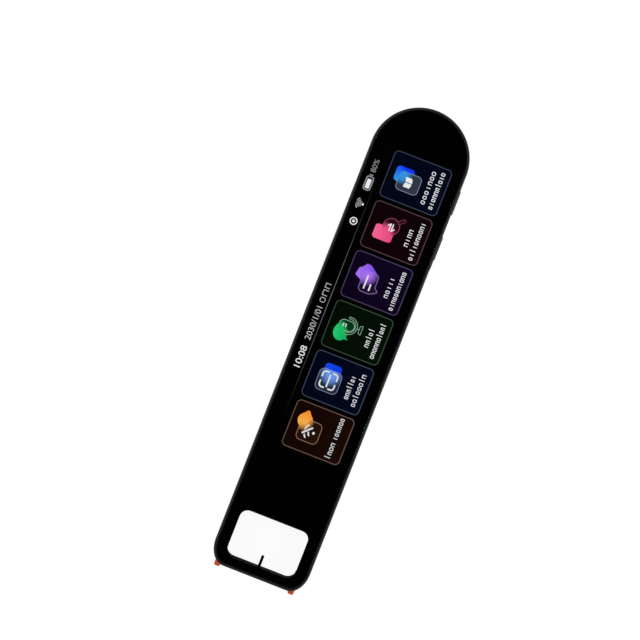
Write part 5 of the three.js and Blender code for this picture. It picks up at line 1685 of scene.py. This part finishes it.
# %% The grille
GRILLE_MARGIN = 0.9 * MM
HOLE_PITCH_ACROSS = 1.95 * MM
HOLE_PITCH_ALONG = 1.6 * MM
SOUND_HOLE = 0.46 * MM
SOUND_FLARE = 0.14 * MM
MOUTH_LIFT = 0.02 * MM
grille_middle = (0, (mesh_low.y + mesh_high.y) / 2, deck_low.z - MOUTH_LIFT)
room_across = mesh_high.x + MESH_GAP - GRILLE_MARGIN - SOUND_HOLE
room_along = (mesh_high.y - mesh_low.y) / 2 + MESH_GAP - GRILLE_MARGIN - SOUND_HOLE
columns = 1 + 2 * round(room_across / HOLE_PITCH_ACROSS)
hole_rows = 1 + 2 * round(room_along / HOLE_PITCH_ALONG)
drill_set = run_tree("drill_set", drill_tree, Columns=columns, Rows=hole_rows, Across=HOLE_PITCH_ACROSS,
                     Lengthwise=HOLE_PITCH_ALONG, Radius=SOUND_HOLE, Flare=SOUND_FLARE,
                     Depth=deck_high.z - deck_low.z, Middle=grille_middle, Finish=deck_finish)
carve(deck, [drill_set])
give(deck, deck_finish, ["camera_deck"])
print("grille:", columns, "by", hole_rows, "holes, less four corners")

# %% [markdown]
# ### Dust mesh
# Behind the holes lies a woven mesh that keeps dust out of the speaker. Two sheets of wires, run by one tree,
# wave over and under each other: each wire is a zigzag whose phase swaps from one wire to the next.

# %% The tree for one sheet of wires
WIRE_SIDES = 5
wire_tree, given = new_tree("mesh_wires", Wires="count", Waves="count", Pitch="length", Radius="length",
                            Lift="length", Phase="length", Turn="place", Middle="place", Finish="material")
long_way = times(wire_tree, less(wire_tree, given["Waves"], 1.0), given["Pitch"])
wide_way = times(wire_tree, less(wire_tree, given["Wires"], 1.0), given["Pitch"])
wire_start = vector_of(wire_tree, X=times(wire_tree, long_way, -0.5))
one_wire = row_of_spots(wire_tree, given["Waves"], wire_start, X=given["Pitch"])
row_start = vector_of(wire_tree, Y=times(wire_tree, wide_way, -0.5))
wire_rows = row_of_spots(wire_tree, given["Wires"], row_start, Y=given["Pitch"])
wire_lines = on_spots(wire_tree, wire_rows, one_wire)
real_lines = grow(wire_tree, "GeometryNodeRealizeInstances", {"Geometry": wire_lines})
where = grow(wire_tree, "GeometryNodeInputPosition")
cut_up = grow(wire_tree, "ShaderNodeSeparateXYZ", {0: where.outputs[0]})
here = sum_of(wire_tree, cut_up.outputs["X"], cut_up.outputs["Y"])
here_in_steps = sum_of(wire_tree, here, given["Pitch"], "DIVIDE")
all_in_steps = sum_of(wire_tree, sum_of(wire_tree, long_way, wide_way), given["Pitch"], "DIVIDE")
turns = times(wire_tree, sum_of(wire_tree, here_in_steps, times(wire_tree, all_in_steps, 0.5)), math.pi)
wave = sum_of(wire_tree, sum_of(wire_tree, turns, given["Phase"]), 0.0, "COSINE")
lift = vector_of(wire_tree, Z=times(wire_tree, wave, given["Lift"]))
waved = grow(wire_tree, "GeometryNodeSetPosition", {"Geometry": real_lines.outputs[0], "Offset": lift})
wire_curves = grow(wire_tree, "GeometryNodeMeshToCurve", {"Mesh": waved.outputs[0]})
wires = wire_along(wire_tree, wire_curves.outputs[0], given["Radius"], WIRE_SIDES)
finish_tree(wire_tree, moved(wire_tree, wires, given["Middle"], given["Turn"]), given["Finish"])

# %% Dust mesh
WIRE_PITCH = 0.26 * MM
WIRE_RADIUS = 0.045 * MM
WIRE_LIFT = 0.04 * MM
mesh_middle = ((mesh_low + mesh_high) / 2)[:]
across_count = int((mesh_high.x - mesh_low.x - 4 * WIRE_RADIUS) / WIRE_PITCH)
along_count = int((mesh_high.y - mesh_low.y - 4 * WIRE_RADIUS) / WIRE_PITCH)
weave = [
    run_tree(name, wire_tree, Wires=count, Waves=waves, Pitch=WIRE_PITCH, Radius=WIRE_RADIUS, Lift=WIRE_LIFT,
             Phase=phase, Turn=(0, 0, turn), Middle=mesh_middle, Finish=wire_finish)
    for name, count, waves, phase, turn in (("warp", along_count, across_count, 0.0, 0),
                                            ("weft", across_count, along_count, math.pi, QUARTER))
]
give(merge("dust_weave", weave), wire_finish, ["speaker_mesh"])

# %% [markdown]
# ## The camera
# A round turned ring stands proud of the deck and guards the lens. Behind the lens lies a dark dial: a
# sloping groove round a shallow cone, with the camera's pupil at its tip. All are profiles carried round one
# axis.

# %% Camera ring, dial and lens
RING_BEZEL = 0.85 * MM
RING_SHELF = 0.75 * MM
RING_EDGE = 0.4 * MM
bezel_inner = ring_radius - RING_BEZEL
shelf_inner = bezel_inner - RING_SHELF
lens_seat = dial_high.z
outer_edge = [(ring_radius - inset, ring_low.z + drop) for inset, drop in reversed(edge_round(RING_EDGE))]
inner_edge = [(bezel_inner + inset, ring_low.z + drop) for inset, drop in edge_round(RING_EDGE)]
profile = outer_edge + [(ring_radius, deck_high.z), (ring_high.x, deck_high.z), (ring_high.x, ring_high.z)]
profile += [(shelf_inner, ring_high.z), (shelf_inner, lens_seat), (bezel_inner, lens_seat)] + inner_edge
give(turned("lens_ring", profile, CAMERA_Y), ring_finish, ["camera_ring"])

DIAL_HOLE = 0.4 * MM
DIAL_RIDGE = 2.4 * MM
DIAL_RIM = 4.1 * MM
DIAL_STEP = 0.1 * MM
DIAL_DEPTH = 0.36 * MM
GROOVE_DEPTH = 0.14 * MM
cone = [(DIAL_HOLE, dial_low.z + DIAL_DEPTH), (DIAL_RIDGE, dial_low.z), (DIAL_RIDGE + DIAL_STEP, dial_low.z)]
groove = [(DIAL_RIDGE + DIAL_STEP, dial_low.z + GROOVE_DEPTH), (DIAL_RIM, dial_low.z)]
underside = [(dial_high.x, dial_high.z), (DIAL_RIDGE, dial_high.z), (DIAL_HOLE, dial_high.z + DIAL_DEPTH)]
profile = cone + groove + [(dial_high.x, dial_low.z)] + underside
give(turned("lens_dial", profile, CAMERA_Y), dial_and_highlight_finish, ["camera_dial"])

LENS_EDGE = 0.12 * MM
rim = [(lens_high.x - inset, lens_low.z + drop) for inset, drop in reversed(edge_round(LENS_EDGE))]
profile = [(0, lens_low.z)] + rim + [(lens_high.x, lens_high.z), (0, lens_high.z)]
give(turned("lens_cover", profile, CAMERA_Y), lens_finish, ["camera_lens"])

# %% The camera's pupil
EYE_RADIUS = 0.95 * MM
EYE_DEPTH = 0.55 * MM
EYE_RISE = 0.35 * MM
EYE_STEPS = 10
eye_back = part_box("camera_module")[0].z + EYE_DEPTH
dome = []
for i in range(EYE_STEPS + 1):
    turn = QUARTER * i / EYE_STEPS
    dome.append((EYE_RADIUS * math.sin(turn), eye_back - EYE_RISE * math.cos(turn)))
eye_finish, _ = drifting("coated_eye", (0.004, 0.006, 0.02), (0.02, 0.008, 0.03), 0.8 * MM,
                         {"Roughness": 0.04, "Coat Weight": 1})
give(turned("lens_eye", dome + [(0, eye_back)], CAMERA_Y), eye_finish)

# %% [markdown]
# ## The two keys
# Each key is a pill that stands proud of the side wall, with a rounded face edge, on a flange that keeps it
# in the wall. The longer one has a lower step at its end for the thumb to find. The slots in the shell are
# drawn with the same outline and a small gap.

# %% Keys
KEY_EDGE = 0.32 * MM
KEY_STEP_LENGTH = 3.7 * MM
KEY_STEP_DROP = 0.22 * MM
KEY_SOFT = 0.08 * MM
KEY_SOFT_STEPS = 2
KEY_SOFT_ANGLE = 55
KEY_FLANGE_OUTER = CAVITY_HALF - KEY_GAP


def key_cap(name, span, node, body, stepped):
    low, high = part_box(node)
    levels = [(key_outline(span, 0), low.x)]
    levels += [(key_outline(span, -inset), high.x - drop) for inset, drop in edge_round(KEY_EDGE)]
    cap = stack(name, levels, "x")
    if stepped:
        carve(cap, [block("key_step", high.x - KEY_STEP_DROP, high.x + OVERRUN, span[0] - OVERRUN,
                          span[0] + KEY_STEP_LENGTH, key_z - 2 * KEY_HALF, key_z + 2 * KEY_HALF)])
        soften(cap, KEY_SOFT, KEY_SOFT_STEPS, KEY_SOFT_ANGLE)
    carve(cap, [prism("flange", key_outline(span, KEY_FLANGE), low.x, KEY_FLANGE_OUTER, "x")], "UNION")
    return give(cap, key_finish, [node], body)


key_cap("power_button", key_spans["power"], "power_key", "power_button", False)
key_cap("scan_button", key_spans["function"], "function_key", "function_button", True)

# %% [markdown]
# ## The press frame
# The orange frame slides in the tip: two prongs touch the paper, and pressing them starts the scan. It is one
# moulding with a bar along the tip, two legs, two prongs, and two stems that lean on springs. Its edges are
# softened with a Bevel modifier, and each prong has the small sink mark of a moulded boss.

# %% Press frame
LEG = 0.8 * MM
BAR_INNER = -76.9 * MM
BAR_OUTER = -78.2 * MM
BAR_SLOPE = 0.7 * MM
FRAME_FACE = 0.4 * MM
FRAME_FRONT = 4 * MM
FRAME_INNER_HALF = 11.95 * MM
FRAME_INNER_TOP = -61.35 * MM
FRAME_CORNER = 2.9 * MM
STOP_HALF = 3.1 * MM
STOP_END = -78.65 * MM
PRONG_X = 12.8 * MM
PRONG_HALF = 0.975 * MM
PRONG_TOP = -74.6 * MM
PRONG_NOSE = 0.5 * MM
PRONG_FRONT = 3 * MM
SINK_RADIUS = 0.42 * MM
SINK_DEPTH = 0.22 * MM
SINK_DOWN = 2.1 * SINK_RADIUS
SINK_STEPS = 32
NOSE_STEPS = 8
STEM_END = -56.2 * MM
PIN_RADIUS = 0.5 * MM
PIN_LENGTH = 0.9 * MM
TAB_REACH = 1.9 * MM
TAB_THICK = 0.8 * MM
FRAME_SOFT = 0.11 * MM
FRAME_SOFT_STEPS = 3
FRAME_SOFT_ANGLE = 50
frame_outer_half = FRAME_INNER_HALF + LEG
frame_outer_top = FRAME_INNER_TOP + LEG
press_frame = prism("orange_frame", rectangle(-frame_outer_half, frame_outer_half, BAR_OUTER, frame_outer_top,
                                              FRAME_CORNER), FRAME_FACE, FRAME_FRONT)
carve(press_frame, [block("behind_panel", -frame_outer_half - OVERRUN, frame_outer_half + OVERRUN,
                          PRONG_TOP - LEG, frame_outer_top + OVERRUN, FRAME_FACE - OVERRUN, FRAME_BACK)])
carve(press_frame, [block("stop", -STOP_HALF, STOP_HALF, STOP_END, BAR_OUTER + LEG / 2,
                          FRAME_FACE, FRAME_FRONT)], "UNION")


def funnel_outline(low):
    return rectangle(-FRAME_INNER_HALF, FRAME_INNER_HALF, low, FRAME_INNER_TOP, FRAME_CORNER - LEG / 2)


funnel = stack("funnel", [
    (funnel_outline(BAR_INNER - BAR_SLOPE), FRAME_FACE - OVERRUN),
    (funnel_outline(BAR_INNER - BAR_SLOPE), FRAME_FACE),
    (funnel_outline(BAR_INNER), FRAME_FRONT),
    (funnel_outline(BAR_INNER), FRAME_FRONT + OVERRUN),
])
head_half = TAB_HALF + FRAME_GAP
head_gap = block("head_gap", -head_half, head_half, FRAME_INNER_TOP - OVERRUN, frame_outer_top + OVERRUN,
                 FRAME_BACK - OVERRUN, FRAME_FRONT + OVERRUN)
carve(press_frame, [funnel, head_gap])
limbs = []
for side in (-1, 1):
    left = side * PRONG_X - PRONG_HALF
    right = side * PRONG_X + PRONG_HALF
    prong_outline = rounded([(left, frame_low.y, PRONG_NOSE), (right, frame_low.y, PRONG_NOSE),
                             (right, PRONG_TOP, 0), (left, PRONG_TOP, 0)], NOSE_STEPS)
    limbs.append(prism(f"prong_{side}", prong_outline, FRAME_FACE, PRONG_FRONT))
    x = side * STEM_SIDE
    limbs.append(block(f"stem_{side}", x - STEM_WIDTH / 2, x + STEM_WIDTH / 2, frame_outer_top - LEG / 2,
                       STEM_END, FRAME_BACK, FRAME_BACK + STEM_HEIGHT))
edge = STEM_WIDTH / 2 - STEM_SIDE
limbs.append(block("trigger_tab", edge - STEM_WIDTH / 4, edge + TAB_REACH, STEM_END - TAB_THICK, STEM_END,
                   FRAME_BACK, FRAME_BACK + STEM_HEIGHT))
carve(press_frame, limbs, "UNION")
soften(press_frame, FRAME_SOFT, FRAME_SOFT_STEPS, FRAME_SOFT_ANGLE)
pins = []
sinks = []
for side in (-1, 1):
    pin = circle((FRAME_BACK + STEM_HEIGHT / 2, side * STEM_SIDE), PIN_RADIUS, SMALL_STEPS)
    pins.append(prism(f"pin_{side}", pin, STEM_END - OVERRUN, STEM_END + PIN_LENGTH, "y"))
    sink = circle((side * PRONG_X, PRONG_TOP - SINK_DOWN), SINK_RADIUS, SINK_STEPS)
    sinks.append(prism(f"sink_{side}", sink, FRAME_FACE - OVERRUN, FRAME_FACE + SINK_DEPTH))
carve(press_frame, pins, "UNION")
carve(press_frame, sinks)
give(press_frame, orange_finish, ["press_frame"], "nib")

# %% [markdown]
# ### Springs
# Two small coil springs push the frame out again.

# %% Springs
SPIRAL_STEPS = 28
SPRING_SIDES = 10
SPRING_WIRE = 0.18 * MM
SPRING_RADIUS = 0.85 * MM
SPRING_COILS = 5.0
spring_tree, given = new_tree("coil_spring", Coils="length", Radius="length", Wire="length", Length="length",
                              Start="place", Finish="material")
spiral = grow(spring_tree, "GeometryNodeCurveSpiral",
              {"Resolution": SPIRAL_STEPS, "Rotations": given["Coils"], "Start Radius": given["Radius"],
               "End Radius": given["Radius"], "Height": given["Length"]})
coil = wire_along(spring_tree, spiral.outputs[0], given["Wire"], SPRING_SIDES)
finish_tree(spring_tree, moved(spring_tree, coil, given["Start"], (-QUARTER, 0, 0)), given["Finish"])
for name in ("left", "right"):
    low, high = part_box(f"frame_spring_{name}")
    middle = (low + high) / 2
    start = (middle.x, low.y + SPRING_WIRE, middle.z)
    spring = run_tree(f"spring_{name}", spring_tree, Coils=SPRING_COILS, Radius=SPRING_RADIUS,
                      Wire=SPRING_WIRE, Length=high.y - low.y - 2 * SPRING_WIRE, Start=start,
                      Finish=steel_finish)
    give(spring, None, [f"frame_spring_{name}"])
    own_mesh(spring)

# %% [markdown]
# ## The charging socket
# The socket in the round end is a steel shell drawn from sheet, with a tongue in its middle that carries a
# row of gold contacts on each side. The contacts are laid by a tree from one small bar.

# %% Socket shell and tongue
SOCKET_WALL = 0.3 * MM
SOCKET_BACK = 1 * MM
SOCKET_LIP = 0.12 * MM
TONGUE_HALF = 3.3 * MM
TONGUE_TALL = 0.35 * MM
TONGUE_LENGTH = 4.6 * MM
TONGUE_SOFT = 0.1 * MM
LIP_STEPS = 4
socket_z = (socket_low.z + socket_high.z) / 2
levels = [(socket_outline(0), socket_low.y)]
levels += [(socket_outline(inset), socket_high.y - drop) for inset, drop in edge_round(SOCKET_LIP, LIP_STEPS)]
socket = stack("socket_shell", levels, "y")
levels = [(socket_outline(SOCKET_WALL), socket_low.y + SOCKET_BACK)]
for inset, drop in reversed(edge_round(SOCKET_LIP, LIP_STEPS)):
    levels.append((socket_outline(SOCKET_WALL - drop), socket_high.y - inset))
levels.append((socket_outline(SOCKET_WALL - SOCKET_LIP), socket_high.y + OVERRUN))
carve(socket, [stack("socket_bore", levels, "y")])
give(socket, plug_steel_finish, ["charging_socket"])
tongue_end = socket_low.y + SOCKET_BACK + TONGUE_LENGTH
tongue_outline = rectangle(socket_z - TONGUE_TALL, socket_z + TONGUE_TALL, -TONGUE_HALF, TONGUE_HALF,
                           TONGUE_SOFT, LIP_STEPS)
tongue_tip = rectangle(socket_z - TONGUE_TALL + TONGUE_SOFT, socket_z + TONGUE_TALL - TONGUE_SOFT,
                       -TONGUE_HALF + TONGUE_SOFT, TONGUE_HALF - TONGUE_SOFT, TONGUE_SOFT / 4, LIP_STEPS)
levels = [(tongue_outline, socket_low.y + SOCKET_BACK), (tongue_outline, tongue_end - TONGUE_SOFT),
          (tongue_tip, tongue_end)]
tongue = stack("socket_tongue", levels, "y")
give(tongue, inner_finish)

# %% Socket contacts
CONTACTS = 12
CONTACT_PITCH = 0.5 * MM
CONTACT_WIDTH = 0.26 * MM
CONTACT_LENGTH = 3.1 * MM
CONTACT_THICK = 0.04 * MM
contact_tree, given = new_tree("contact_row", Count="count", Pitch="length", Width="length", Length="length",
                               Thick="length", First="place", Finish="material")
contact_spots = row_of_spots(contact_tree, given["Count"], given["First"], X=given["Pitch"])
contact_size = vector_of(contact_tree, X=given["Width"], Y=given["Length"], Z=given["Thick"])
contact_bar = grow(contact_tree, "GeometryNodeMeshCube", {"Size": contact_size})
finish_tree(contact_tree, on_spots(contact_tree, contact_spots, contact_bar.outputs[0]), given["Finish"])
contact_rows = []
for side in (-1, 1):
    first = (-CONTACT_PITCH * (CONTACTS - 1) / 2, tongue_end - TONGUE_SOFT - CONTACT_LENGTH / 2 - OVERRUN / 2,
             socket_z + side * (TONGUE_TALL + CONTACT_THICK / 4))
    contact_rows.append(run_tree(f"contacts_{side}", contact_tree, Count=CONTACTS, Pitch=CONTACT_PITCH,
                                 Width=CONTACT_WIDTH, Length=CONTACT_LENGTH, Thick=CONTACT_THICK, First=first,
                                 Finish=gold_finish))
give(merge("socket_contacts", contact_rows), gold_finish)

# %% [markdown]
# ## The inside
# What lies inside keeps its CAD solids, whose plain shapes are right for boards, cans and a battery pouch.
# Each gets the finish of the real part.

# %% Finishes of the inside
screen_back, _ = drifting("screen_dark", (0.0002, 0.0002, 0.0003), (0.0005, 0.0005, 0.0007), 6 * MM,
                          {"Roughness": 0.3, "Specular IOR Level": BEHIND_GLASS})
inside = {
    screen_back: ["screen_panel"],
    film_finish: ["backlight_unit"],
    steel_finish: ["screen_tray", "processor_shield", "radio_shield", "microphone", "board_screw_1",
                   "board_screw_2", "board_screw_3", "board_screw_4", "scan_screw_1", "scan_screw_2"],
    ribbon_finish: ["screen_flex", "scan_flex", "antenna"],
    foam_finish: ["speaker_gasket"],
    inner_finish: ["speaker", "camera_module", "power_switch", "function_switch", "scan_camera",
                   "scan_shroud", "trigger_switch"],
    board_finish: ["main_board", "scan_board"],
    foil_finish: ["battery"],
    lens_finish: ["scan_lens"],
    lamp_finish: ["scan_light_left", "scan_light_right"],
}
for finish, names in inside.items():
    for name in names:
        for slot in frame["nodes"][name].material_slots:
            slot.material = finish
print("nodes finished inside:", sum(len(names) for names in inside.values()))

# %% [markdown]
# ## Table, light and camera
# The pen lies on its back, on its camera ring and its tip, so the table is a plane through those two. The
# table is white because of its colour: rays from the camera, and rays in mirrors and glass, see it lit
# evenly, with a share left to the lamps, so that the pen keeps its soft shadow.

# %% Table
TABLE_HALF = 1.5
TABLE_WHITE = 0.9
TABLE_EVEN = 0.88
TABLE_GLOW = 1.07
touch_ring = Vector((0, ring_low.y, ring_low.z))
touch_tip = Vector((0, TIP_END + BACK_EDGE, shell_low.z))
fall = (touch_tip.z - touch_ring.z) / (touch_tip.y - touch_ring.y)


def table_height(y):
    return touch_ring.z + fall * (y - touch_ring.y)


table_outline = rectangle(-TABLE_HALF, TABLE_HALF, -TABLE_HALF, TABLE_HALF)
table = mesh_piece("table", [(x, y, table_height(y)) for x, y in table_outline], [(0, 1, 2, 3)])


def seen_ray(tree, kinds=("Is Camera Ray", "Is Glossy Ray", "Is Transmission Ray")):
    """1 for rays that see the studio, 0 for rays that light the pen."""
    path = grow(tree, "ShaderNodeLightPath")
    last = path.outputs[kinds[0]]
    for kind in kinds[1:]:
        last = sum_of(tree, last, path.outputs[kind], "MAXIMUM")
    return last


table_finish = empty_finish("table_white")
table_lit = add(table_finish, "BsdfDiffuse", {"Color": (TABLE_WHITE, TABLE_WHITE, TABLE_WHITE, 1)})
table_even = add(table_finish, "Emission", {"Strength": TABLE_GLOW})
table_share = times(table_finish.node_tree, seen_ray(table_finish.node_tree), TABLE_EVEN)
table_mix = add(table_finish, "MixShader",
                {"Fac": table_share, 1: table_lit.outputs[0], 2: table_even.outputs[0]})
add(table_finish, "OutputMaterial", {"Surface": table_mix.outputs[0]})
table.data.materials.append(table_finish)
table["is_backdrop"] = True
print("the table leans by", round(math.degrees(math.atan(abs(fall))), 2), "degrees against the pen")

# %% [markdown]
# ### Studio
# The room is white at the sides and dark overhead and below, where the flat faces would mirror it straight
# into the camera: that is how black glass is photographed black. It is dimmer towards the pen's two ends, so
# the rim there stays darker than at the sides. Two wide soft lamps stand at the sides and a smaller one at
# the round end, low enough to stay out of that mirror.

# %% Room and lamps
ROOM_LIGHT = 0.5
DARK_FROM = 0.6
DARK_FULL = 0.85
ENDS_FROM = 0.55
ENDS_FULL = 0.95
ENDS_LIGHT = 0.25
room = bpy.context.scene.world or bpy.data.worlds.new("room")
bpy.context.scene.world = room
room.use_nodes = True
sky = room.node_tree
sky.nodes.clear()
direction = grow(sky, "ShaderNodeTexCoord").outputs["Generated"]
split = grow(sky, "ShaderNodeSeparateXYZ", {0: direction})


def falling(axis, start, end, low):
    """1 until a direction leans this far along an axis, either way, then down to low."""
    feeds = {"Value": sum_of(sky, split.outputs[axis], 0.0, "ABSOLUTE"), "From Min": start, "From Max": end,
             "To Min": 1.0, "To Max": low}
    return grow(sky, "ShaderNodeMapRange", feeds, interpolation_type="SMOOTHSTEP").outputs["Result"]


mirrored = times(sky, falling("Z", DARK_FROM, DARK_FULL, 0.0), falling("Y", ENDS_FROM, ENDS_FULL, ENDS_LIGHT))
mirror_rays = seen_ray(sky, ("Is Glossy Ray",))
plain_rays = seen_ray(sky, ("Is Camera Ray", "Is Transmission Ray"))
seen = grow(sky, "ShaderNodeMix", {"Factor": mirror_rays, 2: ROOM_LIGHT, 3: mirrored}).outputs[0]
white = grow(sky, "ShaderNodeMix", {"Factor": plain_rays, 2: seen, 3: 1.0}).outputs[0]
glow = grow(sky, "ShaderNodeBackground", {"Color": (1, 1, 1, 1), "Strength": white})
grow(sky, "ShaderNodeOutputWorld", {"Surface": glow.outputs[0]})


def soft_lamp(name, place, size, power):
    """A rectangle of light that looks at the middle of the pen; metres and watts."""
    data = bpy.data.lights.new(name, "AREA")
    data.shape = "RECTANGLE"
    data.size = size[0]
    data.size_y = size[1]
    data.energy = power
    lamp = show(name, data)
    lamp.location = place
    lamp.rotation_euler = (-Vector(place)).to_track_quat("-Z", "Y").to_euler()
    print(name, "gives", power, "W")
    return lamp


soft_lamp("lamp_left", (-0.85, 0.15, 0.62), (0.5, 0.9), 4.6)
soft_lamp("lamp_right", (0.85, 0.1, 0.6), (0.5, 0.9), 4.2)
soft_lamp("lamp_top", (0.1, 0.95, 0.62), (0.7, 0.4), 0.7)

# %% Camera
CAMERA_PLACE = (-10.57 * MM, 4.25 * MM, 451 * MM)
CAMERA_TURN = math.radians(21.41)
CAMERA_LENS = 77.73
CLIP_NEAR = 0.01
CLIP_FAR = 20
view = bpy.data.cameras.new("camera")
view.lens = CAMERA_LENS
view.clip_start = CLIP_NEAR
view.clip_end = CLIP_FAR
camera = show("camera", view)
camera.location = CAMERA_PLACE
camera.rotation_euler = (0, 0, CAMERA_TURN)
bpy.context.scene.camera = camera
bpy.context.scene.view_settings.view_transform = "Standard"
print("the camera hangs", round(camera.location.z / MM), "mm above the pen's back")

# %% [markdown]
# ## Measure and finish
# Last, the box of the dressed pen is written beside the CAD box, so that the two can be compared.

# %% Sizes and the end
bpy.context.view_layer.update()
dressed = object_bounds()
for label, corners in (("CAD", cad_bounds), ("dressed", dressed)):
    print(label, [round((corners[1][i] - corners[0][i]) / MM, 2) for i in range(3)], "mm")
